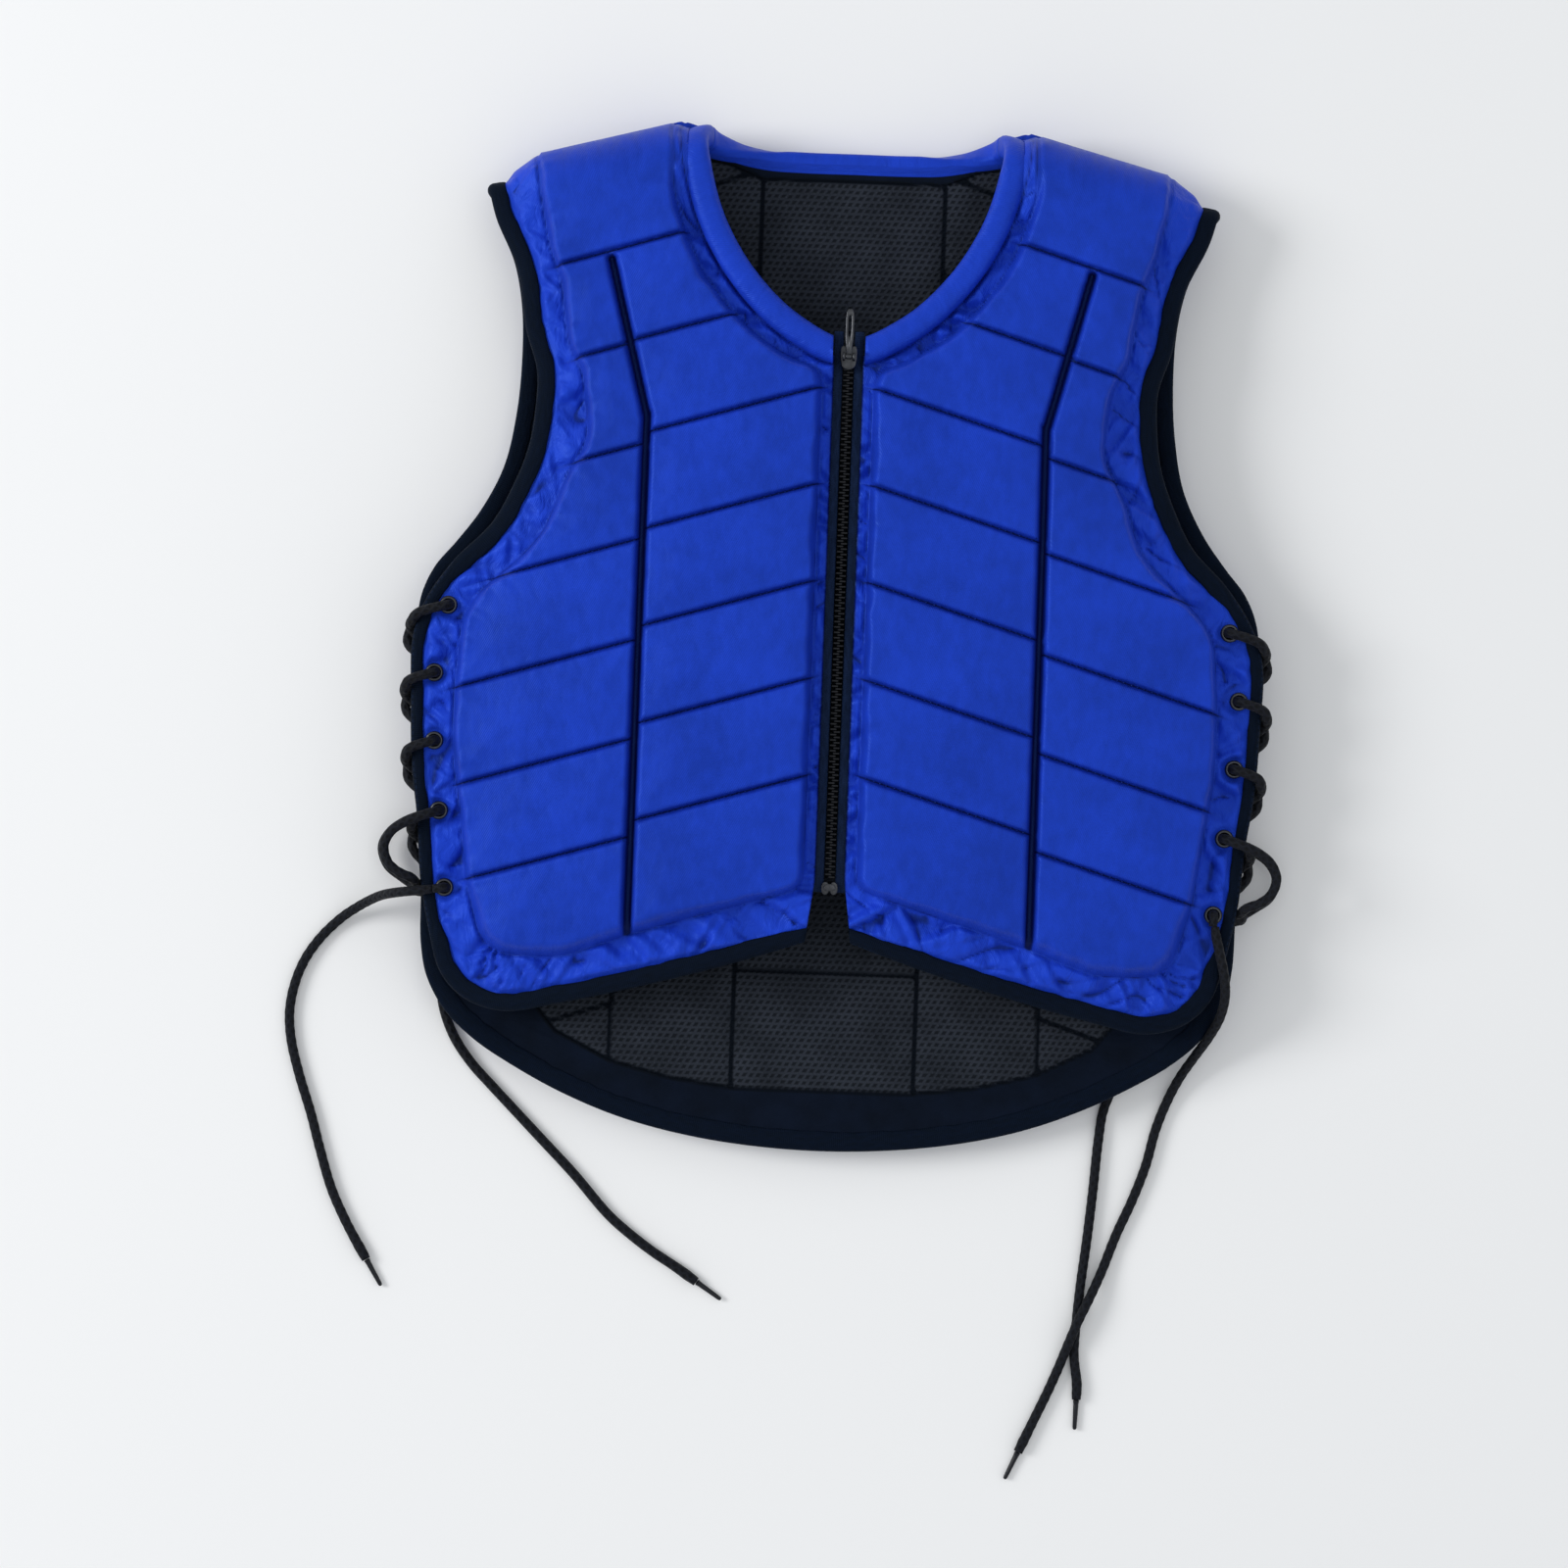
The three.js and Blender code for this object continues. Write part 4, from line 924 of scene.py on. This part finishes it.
def blocks(half, at, seed):
    """Height of the cover over the foam blocks, which every seam draws in a little unevenly."""
    full, floor = sizes().pad_height / MM, sizes().seam_height / MM
    wander = noise(at.along / 9.0, 3.7, seed)
    column_rise = rounded(np.hypot(at.beside_column, 0.5) - 0.35, COLUMN_ROUND + 0.5 * wander)
    row_rise = ROW_KEEPS + (1 - ROW_KEEPS) * rounded(
        np.hypot(at.row, 0.5) - ROW_CORE, ROW_ROUND + 0.5 * wander)
    edge_wander = noise(at.round_pads / 10.0, 8.1, seed + 1)
    hem = HEM_ROUND * smooth((at.d - HEM_FROM) / 30)
    edge_rise = rounded(at.edge + 0.9, RIM_ROUND + hem + 1.2 * edge_wander)
    low = PLATE + (floor - PLATE) * edge_rise
    height = low + (full - floor) * edge_rise * np.minimum(column_rise, row_rise)
    middle = smooth(np.minimum(np.maximum(at.edge, 0), at.groove) / CROWN_REACH)
    if half is FRONT:
        height = height + sizes().pad_crown / MM * middle * smooth((at.d - 6) / 50)

    # Short gathers that run away from each seam, and slack cloth over the pads.
    fan = noise(at.along / 3.6, at.groove / 14.0, seed + 2) \
        * np.exp(-at.groove / 6.0) * rounded(at.groove, 4)
    edge_fan = (noise(at.round_pads / 6.5, at.edge / 16.0, seed + 3)
                + 0.4 * noise(at.round_pads / 3.1, at.edge / 9.0, seed + 9)) \
        * np.exp(-np.abs(at.edge - 4) / 6.0)
    slack = noise(at.x / 23, at.d / 17, seed + 4) + 0.6 * noise(at.x / 9, at.d / 7, seed + 5)
    dip = SEAM_GATHER * fan + RIM_GATHER * edge_fan * smooth((at.edge + 2) / 4) \
        + PAD_SLACK * slack * middle
    return height + (dip - half.sunk) * at.from_fold * smooth((at.edge + 4) / 4)


def quilt(half, x, d, seed):
    """Height of the cover over its lining, its distance from the seams, which sets its painted
    shade, and its slack, which sets its painted highlight.
    """
    at = surroundings(half, x, d)
    height = blocks(half, at, seed)

    # Loose margin between the pads and the binding, gathered and here and there folded.
    margin = smooth((0.6 - at.edge) / 3.0) * smooth((at.outer - table(TAPE, at.d) + 0.6) / 4.5) \
        * smooth((at.band + 0.4) / 3.0) * (0.12 + 0.88 * at.from_fold)
    around = at.beside + noise(at.beside / 31.0, at.depth / 40.0, seed + 8) * 9.0
    gather = noise((around + 0.7 * at.depth) / 8.5, at.depth / 30.0, seed + 6) \
        + 0.35 * noise((around - 0.6 * at.depth) / 4.4, at.depth / 15.0, seed + 7)
    gather = np.sign(gather) * np.abs(gather) ** 0.8
    lean = np.where(noise(at.beside / 46.0, 6.2, seed + 11) > 0, 1.1, -0.9)
    folded = noise((around + lean * at.depth) / 14.0, at.depth / 42.0, seed + 12)
    fold = np.exp(-(folded / 0.14) ** 2) * smooth(0.85 - gather * 0.8)
    crease = np.exp(-(at.row / 2.2) ** 2) * margin * smooth((14 + at.edge) / 8)
    calm = np.ones(len(at.x))
    for hx, hd in eyelet_centres(half):
        calm *= smooth((np.hypot(at.points[:, 0] - hx, at.points[:, 1] - hd) - 4.6) / 4.5)
    free = margin * calm
    loose = sizes().pucker / MM * gather * free
    height = height + loose + (MARGIN_RISE - CREASE_DEPTH * crease - FOLD_DEPTH * fold) * free
    height = LEAST + np.logaddexp(0, (height - LEAST) * 2.2) / 2.2

    # Over the shoulder fold the cover stays drawn up past the pads.
    drawn_up = np.clip(1 - at.past / 24.0, 0, 1) * smooth((74 - at.d) / 50)
    strap = 0.9 * (sizes().pad_height / MM - PLATE) * drawn_up
    strap = PLATE + strap * smooth((at.outer - table(TAPE, at.d) + 3) / 8)
    height = np.where(at.edge < 2, np.maximum(height, strap + 0.5 * loose), height)
    if half is BACK:
        height = np.minimum(height, FOAM - 0.05)

    # The gap mark is small where painted shade darkens the cover: in seams, folds and valleys, and
    # along the pads' rims, the neck band's foot and the zip.
    broken = 0.75 + 0.75 * noise(at.round_pads / 8.0, 4.4, seed + 10)
    valley = smooth((-gather - 0.1) / 0.75) * free
    gap = [at.beside_column + at.past * 1.2, at.row + 0.05 + at.past * 0.22,
           np.abs(at.edge + 0.4) * 0.8 + np.maximum(broken, 0.4), 3.2 - 1.9 * valley,
           2.8 - 2.45 * fold * free, np.abs(at.band - 0.4) + 0.3]
    if half.zipped:
        gap.append(np.abs(at.x - ZIP_EDGE) * 0.8)
    # The slack mark lightens the satin as painted highlight, and in the margins it strengthens
    # their bump.
    slack = free + 0.35 * np.exp(-np.maximum(at.edge, 0) / 3.0) + 0.2 * np.exp(-at.groove / 3.0)
    return height.reshape(x.shape), {"gap": np.clip(np.minimum.reduce(gap), 0, MARK_MOST),
                                     "slack": np.clip(slack, 0, 1)}


def panel(half, name, node, step, satin, mirror, seed):
    x, d = cloth_net(step, half.x_low, half.d_high, half.zipped)
    cell = kept_cells(half, x, d, COVER_INSET)
    meet_seams(half, x, d)
    h, marks = quilt(half, x, d, seed)
    piece = sheet_mesh(name, half.side, x, d, h, cell, finishes()[satin], marks, half.side,
                       mirror, wall=0.0)
    settle(piece, node, "satin_cover")


# Linings.

def lining(half, name, node, mirror, rests_on):
    """Mesh lining just inside one panel, drawn in at its seams, with a plain hem border."""
    x, d = cloth_net(LINING_GRID, half.lining_low, half.d_high)
    cell = kept_cells(half, x, d, LINING_INSET)
    points = np.stack([np.abs(x).ravel(), d.ravel()], axis=1)
    edge, _ = from_ring(points, half.pads)
    seams = np.abs(edge)
    for a, b, _ in half.grooves:
        seams = np.minimum(seams, near(points, [a, b])[0] + np.maximum(-edge, 0) * 1.5)
    outer, _ = near(points, flowing(half.edge, 4.0))
    collar, _ = near(points, flowing(half.neck, EDGE_STEP))
    away = smooth((outer - 17) / 8) * smooth((collar - 16) / 6)
    puff = rounded(seams, 8.0) * away
    loose = noise(x.ravel() / 19, d.ravel() / 15, 71) * 0.25 * away
    wave = noise(x.ravel() / 24, d.ravel() / 8, 73) * 0.8 * smooth(-edge / 6) * away
    h = -(0.9 + 1.2 * puff * smooth((edge + 2) / 4) + loose + np.abs(wave))
    marks = {"gap": np.clip(seams, 0, MARK_MOST), "border": np.clip(edge, -9, 9)}
    piece = sheet_mesh(name, half.side, x, d, h, cell, finishes()["mesh"], marks, -half.side,
                       mirror)
    full = np.pad(cell, 1)
    touched = full[:-1, :-1] | full[:-1, 1:] | full[1:, :-1] | full[1:, 1:]
    wide, tall = (np.ptp(v[touched]) * MM for v in (x, d))
    area = int(cell.sum()) * (x[0, 1] - x[0, 0]) * (d[-1, 0] - d[-2, 0]) * MM * MM
    settle(piece, node, "mesh_lining")


# Bindings and neck band.

def binding_section(widest, seed):
    """Folded tape: the two flaps lie on the margin, and the nose is round."""
    def section(q, run):
        w = float(table([*TAPE, [490, 10], [505, widest]], q[1]))
        a = 0.35 * float(noise(run / 9.0, 0.3, seed))
        b = 0.5 * float(noise(run / 6.0, 5.3, seed))
        top = PLATE + 1.5 + 0.3 * a
        return [[w - 0.2 + b, -1.0], [w - 0.9 + b, -1.5], [w * 0.6, -1.75], [2.4, -1.7],
                [0.7, -1.1], [-0.05, 0.2], [-0.15, 1.5], [0.0, 2.8], [0.75, 4.0],
                [2.4, top + 0.25], [w * 0.6, top + 0.3], [w - 1.1 + b, top + 0.05],
                [w - 0.15 + b, top - 0.5], [w - 0.3 + b, PLATE - 0.2],
                [2.2, PLATE - 0.3], [2.0, 0.3], [w - 0.6, 0.2]]
    return section


def band_section(w):
    """Padded roll round the neck, its inner face drawn in by a row of stitches."""
    def section(q, run):
        a = 0.3 * float(noise(run / 13.0, 2.3, 55))
        return [[-w + 2.2, -1.4], [-w + 0.5, -0.7], [-w - 0.1, 1.2], [-w - 0.2, 3.4],
                [-w + 0.5, 4.6], [-w + 0.1, 6.4], [-w + 0.1, 8.6], [-w + 0.9, 10.6],
                [-w + 2.6, 12.0 + a], [-w * 0.66, 12.75 + a], [-w * 0.5, 12.9 + a],
                [-w * 0.34, 12.75 + a], [-2.4, 12.0 + a], [-0.8, 10.6], [0.0, 8.4],
                [0.15, 5.6], [0.15, 3.0], [0.0, 0.9], [-0.6, -0.6], [-2.2, -1.4],
                [-w * 0.5, -1.7]]
    return section


# Lacing.

def spot(side, d, n, k):
    """A place near the laced edge: n inwards from the edge, k outwards from the lining."""
    x = edge_at((FRONT if side > 0 else BACK).edge, d)
    z = float(bend(side, x - 12.5, d, 0.0, soft=False)[2]) / MM
    return [x - n, TOP - d, z + side * k]


def strand(side, i):
    """From one eyelet over its own edge and across to the eyelet below on the other half."""
    d, below = EYELET_ROWS[i], EYELET_ROWS[i + 1]
    knee = spot(side, d + 18, 1.6, -6.6) if side > 0 else spot(side, d + 22, -3.6, -8)
    return [spot(side, d, inset(d), LACE_UNDER), spot(side, d, inset(d), LACE_OVER),
            spot(side, d + 5, -1, 7.6), spot(side, d + 9, -3.4, 4),
            spot(side, d + 13, -3.4, -3), knee, spot(-side, below - 3.5, 11.5, -5)]


def lacing_line(last):
    """The whole laced length of one side, from one free end to the other."""
    low = EYELET_ROWS[-1]
    line = [last, spot(1, low, inset(low), LACE_OVER), spot(1, low, inset(low), LACE_UNDER)]
    for i, side in ((3, -1), (2, 1), (1, -1), (0, 1)):
        line += strand(side, i)[::-1]
    for i, side in ((0, -1), (1, 1), (2, -1), (3, 1)):
        line += strand(side, i)
    return line + [spot(-1, low, inset(low), LACE_UNDER), spot(-1, low, inset(low), 5.6)]


def laid(points):
    return [[x, TOP - d, z] for x, d, z in points]


def other_side(line):
    return [[-x, y, z] for x, y, z in line]


def lace_tip(name, end, way):
    """Moulded tip of a lace, lying in line with it on the floor."""
    sides = 20
    base = np.array([end[0], end[1], 2.0]) + way * 0.4
    cos, sin = circle(sides)
    up = (0, 0, 1.0)
    rings = [base + way * a + np.outer(cos * g, np.cross(way, up)) + np.outer(sin * g, up)
             for a, g in TIP_PROFILE]
    return mesh_piece(name, np.vstack(rings) * MM, tube(len(rings), sides, True),
                      finishes()["tip"])


# Zip.

def prism(points, low, high, bevel):
    """A flat plate from its outline in millimetres, its rims rounded over."""
    outline = np.asarray(points, float)
    centre = outline.mean(axis=0)
    reach = np.linalg.norm(outline - centre, axis=1).mean()
    rings = [np.column_stack([centre + (outline - centre) * shrink, np.full(len(outline), z)])
             for z, shrink in (
                 (low, 1 - bevel / reach), (low + bevel * 0.5, 1.0), (high - bevel * 0.5, 1.0),
                 (high - bevel * 0.12, 1 - 0.35 * bevel / reach), (high, 1 - bevel / reach))]
    return np.vstack(rings), tube(len(rings), len(outline))


def oval(points):
    """Closed outline with its corners rounded by cutting them twice."""
    ring = np.asarray(points, float)
    for _ in range(2):
        following = np.roll(ring, -1, axis=0)
        ring = np.stack([ring * 0.75 + following * 0.25, ring * 0.25 + following * 0.75],
                        axis=1).reshape(-1, 2)
    return ring


def joined(parts):
    """Several sets of points and faces as one."""
    points, faces, base = [], [], 0
    for p, f in parts:
        points.append(np.asarray(p, float))
        faces += [[i + base for i in face] for face in f]
        base += len(p)
    return np.vstack(points), faces


def on_tape(part, d):
    """A part of the zip set on the tape at one height of the pattern."""
    p, faces = part
    return bend(1, p[:, 0], d - p[:, 1], p[:, 2]) / MM, faces


def zip_tape(name, flip, material):
    """Woven tape that holds one row of teeth."""
    line = np.array([[3.3, d] for d in np.linspace(119.2, 432.8, 120)])

    def section(q, run):
        w = float(table([[119, 5.0], [140, 5.0], [142, 11.6], [433, 11.6]], q[1]))
        return [[0, -1.3], [-w * 0.5, -1.4], [-w, -1.3], [-w - 0.1, -0.9], [-w, -0.45],
                [-w * 0.5, -0.4], [-0.9, -0.2], [-0.1, -0.45], [0.1, -0.9]]
    return sweep(name, line, section, 1, material, flip)


def zip_teeth():
    """Two rows of moulded teeth that close into each other."""
    tooth = prism(oval([[-0.9, -0.42], [0.4, -0.55], [1.6, -0.42], [2.9, -0.5], [2.9, 0.5],
                        [1.6, 0.42], [0.4, 0.55], [-0.9, 0.42]]), -1.7, 0.95, 0.3)
    return joined(on_tape((tooth[0] * [1 if k % 2 else -1, 1, 1], tooth[1]),
                          ZIP_TOP + 0.8 + k * TOOTH_PITCH)
                  for k in range(int((ZIP_FOOT - ZIP_TOP - 1) / TOOTH_PITCH)))


def zip_foot():
    """Bottom box of the zip: a half on either side and the bridge between them."""
    return joined(
        on_tape(prism(oval([[x0, y0], [x1, y0], [x1, y1], [x0, y1]]), -0.1, high, 0.5), 430.5)
        for x0, x1, y0, y1, high in ((-4.6, -0.25, -3.5, 3.5, 2.1), (0.25, 4.6, -3.5, 3.5, 2.1),
                                     (-3.3, 3.3, -1.6, 2.4, 2.5)))


def slider_shape():
    """Two plates with a diamond between them, and two lugs that hold the pull."""
    body = oval([[-3.4, -7], [3.4, -7], [4.9, -1], [4.9, 6], [1.2, 6], [0, 4.4], [-1.2, 6],
                 [-4.9, 6], [-4.9, -1]])
    lug, lug_faces = prism(oval([[-2.5, 4.4], [2.5, 4.4], [2.1, 7.2], [0.9, 8.3], [-0.9, 8.3],
                                 [-2.1, 7.2]]), -0.65, 0.65, 0.3)
    return joined([
        prism(body, 1.4, 2.6, 0.4), prism(body, 3.6, 5.0, 0.7),
        prism(oval([[-1, 0.5], [1, 0.5], [1, 5.4], [-1, 5.4]]), 2.4, 3.8, 0.1),
        *((lug[:, [2, 0, 1]] + [sign * 2.8, 0, 0], lug_faces) for sign in (-1, 1))])


def pull_shape():
    """Eye between the lugs and a slim tab with a long hole and a raised rim."""
    sides = 20
    cos, sin = circle(sides)
    eye = [np.column_stack([np.full(sides, x), r * cos, r * sin])
           for x, r in ((-1.7, 0.9), (-1.55, 1.25), (-1.2, 1.35), (1.2, 1.35), (1.55, 1.25),
                        (1.7, 0.9))]
    outer = np.array([[-1.6, 0], [1.6, 0], [1.6, 5], [2.2, 9], [2.35, 12], [2.35, 21],
                      [2.1, 24.5], [1.2, 26.4], [-1.2, 26.4], [-2.1, 24.5], [-2.35, 21],
                      [-2.35, 12], [-2.2, 9], [-1.6, 5]], float)
    hole = np.array([[-0.5, 11], [0.5, 11], [0.8, 12], [0.9, 13], [1.0, 15], [1.0, 20],
                     [0.9, 22], [0.5, 23], [-0.5, 23], [-0.9, 22], [-1.0, 20], [-1.0, 15],
                     [-0.9, 13], [-0.8, 12]], float)
    rim, waist = outer * [0.9, 0.99], hole * [0.85, 1]
    rings = [np.column_stack([ring, np.full(len(ring), z)]) for ring, z in (
        (rim, -0.7), (outer, -0.45), (outer, 0.45), (rim, 0.7), (hole, 0.7), (waist, 0.35),
        (waist, -0.35), (hole, -0.7), (rim, -0.7))]
    n = len(outer)
    faces = skin(len(rings), n, closed=True) % (n * (len(rings) - 1))
    return joined([(np.vstack(eye), tube(len(eye), sides)),
                   (np.vstack(rings[:-1]), faces.tolist())])


# The steps that build the vest.

class PROTECTOR_OT_stage(Operator):
    """Makes the floor, the soft studio light and the camera above the vest"""

    bl_idname = "protector.stage"
    bl_label = "Stage"

    def execute(self, context):
        set_up = context.scene.protector_stage
        scene = context.scene
        scene.view_settings.view_transform = "Standard"
        camera = bpy.data.objects.new("camera", bpy.data.cameras.new("camera"))
        camera.data.lens = set_up.lens
        camera.data.sensor_width = 36.0
        camera.data.clip_end = 50.0
        camera.location = (set_up.aim[0], set_up.aim[1], set_up.height)
        camera.rotation_euler = (0.0, 0.0, set_up.roll)
        scene.collection.objects.link(camera)
        scene.camera = camera

        floor = mesh_piece("floor", [(-6, -6, 0), (6, -6, 0), (6, 6, 0), (-6, 6, 0)],
                           [[0, 1, 2, 3]], floor_finish())
        for name, place, size, share in (
                ("light_left", (-3.6, 0.6, 2.4), 1.8, 10.4),
                ("light_above", (0.9, 0.1, 4.2), 3.0, 1.8),
                ("light_right", (3.0, -1.2, 2.8), 2.4, 0.5)):
            lamp = bpy.data.objects.new(name, bpy.data.lights.new(name, "AREA"))
            lamp.data.shape = "DISK"
            lamp.data.size = size
            lamp.data.energy = set_up.light * share
            lamp.location = place
            lamp.rotation_euler = (Vector((0, -0.05, 0)) - lamp.location).to_track_quat(
                "-Z", "Y").to_euler()
            scene.collection.objects.link(lamp)
        world = bpy.data.worlds.new("studio")
        world.use_nodes = True
        sky = world.node_tree.nodes["Background"]
        sky.inputs["Color"].default_value = (0.94, 0.97, 1.0, 1.0)
        sky.inputs["Strength"].default_value = 0.66
        scene.world = world
        return {"FINISHED"}


class PROTECTOR_OT_lace_ends(Operator):
    """Lays the four free lace ends on the floor, each with its tip"""

    bl_idname = "protector.lace_ends"
    bl_label = "Lace Ends"

    def execute(self, context):
        radius = sizes().lace_radius
        for name, points in LACE_ENDS.items():
            line = flowing(laid(points), LACE_STEP) + np.array([0, 0, 0.06])
            line[:, 2] = np.maximum(line[:, 2], radius / MM + 0.12)
            end = rope(f"free_lace_{name}", line, radius, taper=0.1)
            way = (line[-1] - line[-4]) * [1, 1, 0]
            tip = lace_tip(f"lace_tip_{name}", line[-1], way / np.linalg.norm(way))
            settle(tip, f"aglet_{name}", "lace_tip")
            settle(end, f"lace_end_{name}", "lace")
            float(lengths(line)[-1]) * MM
        return {"FINISHED"}


class PROTECTOR_OT_panels(Operator):
    """Builds the quilted satin panels over the foam pads"""

    bl_idname = "protector.panels"
    bl_label = "Quilted Panels"

    def execute(self, context):
        front, back = sizes().front_grid / MM, sizes().back_grid / MM
        panel(FRONT, "front_quilt_left", "front_panel_left", front, "front_satin", False, 7)
        panel(FRONT, "front_quilt_right", "front_panel_right", front, "front_satin", True, 23)
        panel(BACK, "back_quilt", "back_panel", back, "back_satin", False, 40)
        return {"FINISHED"}


class PROTECTOR_OT_linings(Operator):
    """Builds the mesh linings inside the panels"""

    bl_idname = "protector.linings"
    bl_label = "Mesh Linings"

    def execute(self, context):
        lining(FRONT, "front_mesh_left", "front_lining_left", False, "front_quilt_left")
        lining(FRONT, "front_mesh_right", "front_lining_right", True, "front_quilt_right")
        lining(BACK, "back_mesh", "back_lining", False, "back_quilt")
        return {"FINISHED"}


class PROTECTOR_OT_bindings(Operator):
    """Builds the folded tape round the outer edges"""

    bl_idname = "protector.bindings"
    bl_label = "Edge Bindings"

    def execute(self, context):
        front = flowing(FRONT_EDGE + [[3, 457.7]], TAPE_STEP)
        back = flowing(to_the_other_hand(BACK_EDGE), TAPE_STEP)
        for name, node, line, side, flip, widest, stop, seed in (
                ("front_left", "front_binding_left", front, 1, False, 10.0, TAPE_STOP, 61),
                ("front_right", "front_binding_right", front, 1, True, 10.0, TAPE_STOP, 64),
                ("back", "back_binding", back, -1, False, 11.5, None, 67)):
            settle(sweep(f"edge_tape_{name}", line, binding_section(widest, seed), side,
                         finishes()["binding"], flip, stop), node, "edge_binding")
        return {"FINISHED"}


class PROTECTOR_OT_neck_band(Operator):
    """Builds the padded band round the neck opening"""

    bl_idname = "protector.neck_band"
    bl_label = "Neck Band"

    def execute(self, context):
        front = flowing(FRONT_NECK + [[0.5, 124.0]], TAPE_STEP)
        back = flowing(to_the_other_hand(BACK_NECK), TAPE_STEP)
        for name, line, half, flip, stop in (
                ("front_left", front, FRONT, False, BAND_STOP),
                ("front_right", front, FRONT, True, BAND_STOP), ("back", back, BACK, False, None)):
            piece = sweep(f"neck_roll_{name}", line, band_section(half.band), half.side,
                          finishes()["front_satin"], flip, stop)
            settle(piece, f"neck_band_{name}", "satin_cover")
        return {"FINISHED"}


class PROTECTOR_OT_eyelets(Operator):
    """Sets the rolled metal eyelets along both laced sides"""

    bl_idname = "protector.eyelets"
    bl_label = "Eyelets"

    def execute(self, context):
        for part, half in (("front", FRONT), ("back", BACK)):
            for i, (x, d) in enumerate(eyelet_centres(half)):
                z = float(bend(half.side, x, d, 0.0)[2]) / MM
                for hand, sign in (("left", 1), ("right", -1)):
                    row = f"{part}_{hand}_{i + 1}"
                    ring = turned(f"rolled_eyelet_{row}", EYELET_PROFILE,
                                  (sign * x, TOP - d, z), half.side, finishes()["gunmetal"])
                    settle(ring, f"eyelet_{row}", "eyelet_metal")
        return {"FINISHED"}


class PROTECTOR_OT_lacing(Operator):
    """Threads the side laces through the eyelets and ties their bows"""

    bl_idname = "protector.lacing"
    bl_label = "Side Lacing"

    def execute(self, context):
        low = inset(EYELET_ROWS[-1])
        left = lacing_line(spot(1, 444, low - 1, LACE_OVER))
        right = other_side(lacing_line(spot(1, 439, low - 6.3, LACE_OVER)))
        rows = [("laced_left", "lacing_left", left), ("laced_right", "lacing_right", right)]
        for part, points in (("front", laid(BOW_FRONT)), ("back", laid(BOW_BACK))):
            rows += [(f"bow_{part}_left", f"bow_loop_{part}_left", points),
                     (f"bow_{part}_right", f"bow_loop_{part}_right", other_side(points))]
        for name, node, points in rows:
            settle(rope(name, flowing(points, LACE_STEP), sizes().lace_radius), node, "lace")
        return {"FINISHED"}


class PROTECTOR_OT_zip(Operator):
    """Builds the zip: tapes, two rows of teeth, bottom box, slider and its pull"""

    bl_idname = "protector.zip"
    bl_label = "Zip"

    def execute(self, context):
        for hand, flip in (("left", False), ("right", True)):
            settle(zip_tape(f"zip_cloth_{hand}", flip, finishes()["zip_tape"]),
                   f"zip_tape_{hand}", "zip_tape")
        y, z = TOP - ZIP_TOP, 42 + float(table(CHEST, TOP - ZIP_TOP))
        for name, shape, place, node, slot, finish, body in (
                ("zip_teeth", zip_teeth, (0, 0, 0), "zip_coil", "zip_coil", "zip_nylon", "vest"),
                ("zip_foot_box", zip_foot, (0, 0, 0), "zip_bottom_box", "zip_metal", "gunmetal",
                 "vest"),
                ("zip_slider_body", slider_shape, (0, y, z), "zip_slider", "zip_metal",
                 "gunmetal", "vest"),
                ("zip_pull_tab", pull_shape, (0, y, z + 6.8), "zip_pull", "zip_metal",
                 "gunmetal", "pull")):
            points, faces = shape()
            settle(mesh_piece(name, (points + place) * MM, faces, finishes()[finish]), node,
                   slot, body)
        return {"FINISHED"}


class PROTECTOR_PT_panel(Panel):
    """Lists the steps that build the vest"""

    bl_idname = "PROTECTOR_PT_panel"
    bl_label = "Body Protector"
    bl_space_type = "VIEW_3D"
    bl_region_type = "UI"
    bl_category = "Protector"

    def draw(self, context):
        for group in (context.scene.protector_sizes, context.scene.protector_colours,
                      context.scene.protector_stage):
            for prop in group.__annotations__:
                self.layout.prop(group, prop)
        for step in STEPS:
            self.layout.operator(step.bl_idname)


STEPS = (PROTECTOR_OT_stage, PROTECTOR_OT_lace_ends, PROTECTOR_OT_panels, PROTECTOR_OT_linings,
         PROTECTOR_OT_bindings, PROTECTOR_OT_neck_band, PROTECTOR_OT_eyelets,
         PROTECTOR_OT_lacing, PROTECTOR_OT_zip)
CLASSES = (VestSizes, VestColours, StageSettings, *STEPS, PROTECTOR_PT_panel)


def register():
    for cls in CLASSES:
        bpy.utils.register_class(cls)
    bpy.types.Scene.protector_sizes = PointerProperty(type=VestSizes)
    bpy.types.Scene.protector_colours = PointerProperty(type=VestColours)
    bpy.types.Scene.protector_stage = PointerProperty(type=StageSettings)


def unregister():
    del bpy.types.Scene.protector_stage
    del bpy.types.Scene.protector_colours
    del bpy.types.Scene.protector_sizes
    for cls in reversed(CLASSES):
        bpy.utils.unregister_class(cls)


def main():
    """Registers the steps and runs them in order."""
    register()
    for step in STEPS:
        group, name = step.bl_idname.split(".")
        getattr(getattr(bpy.ops, group), name)()


if __name__ == "__main__":
    main()
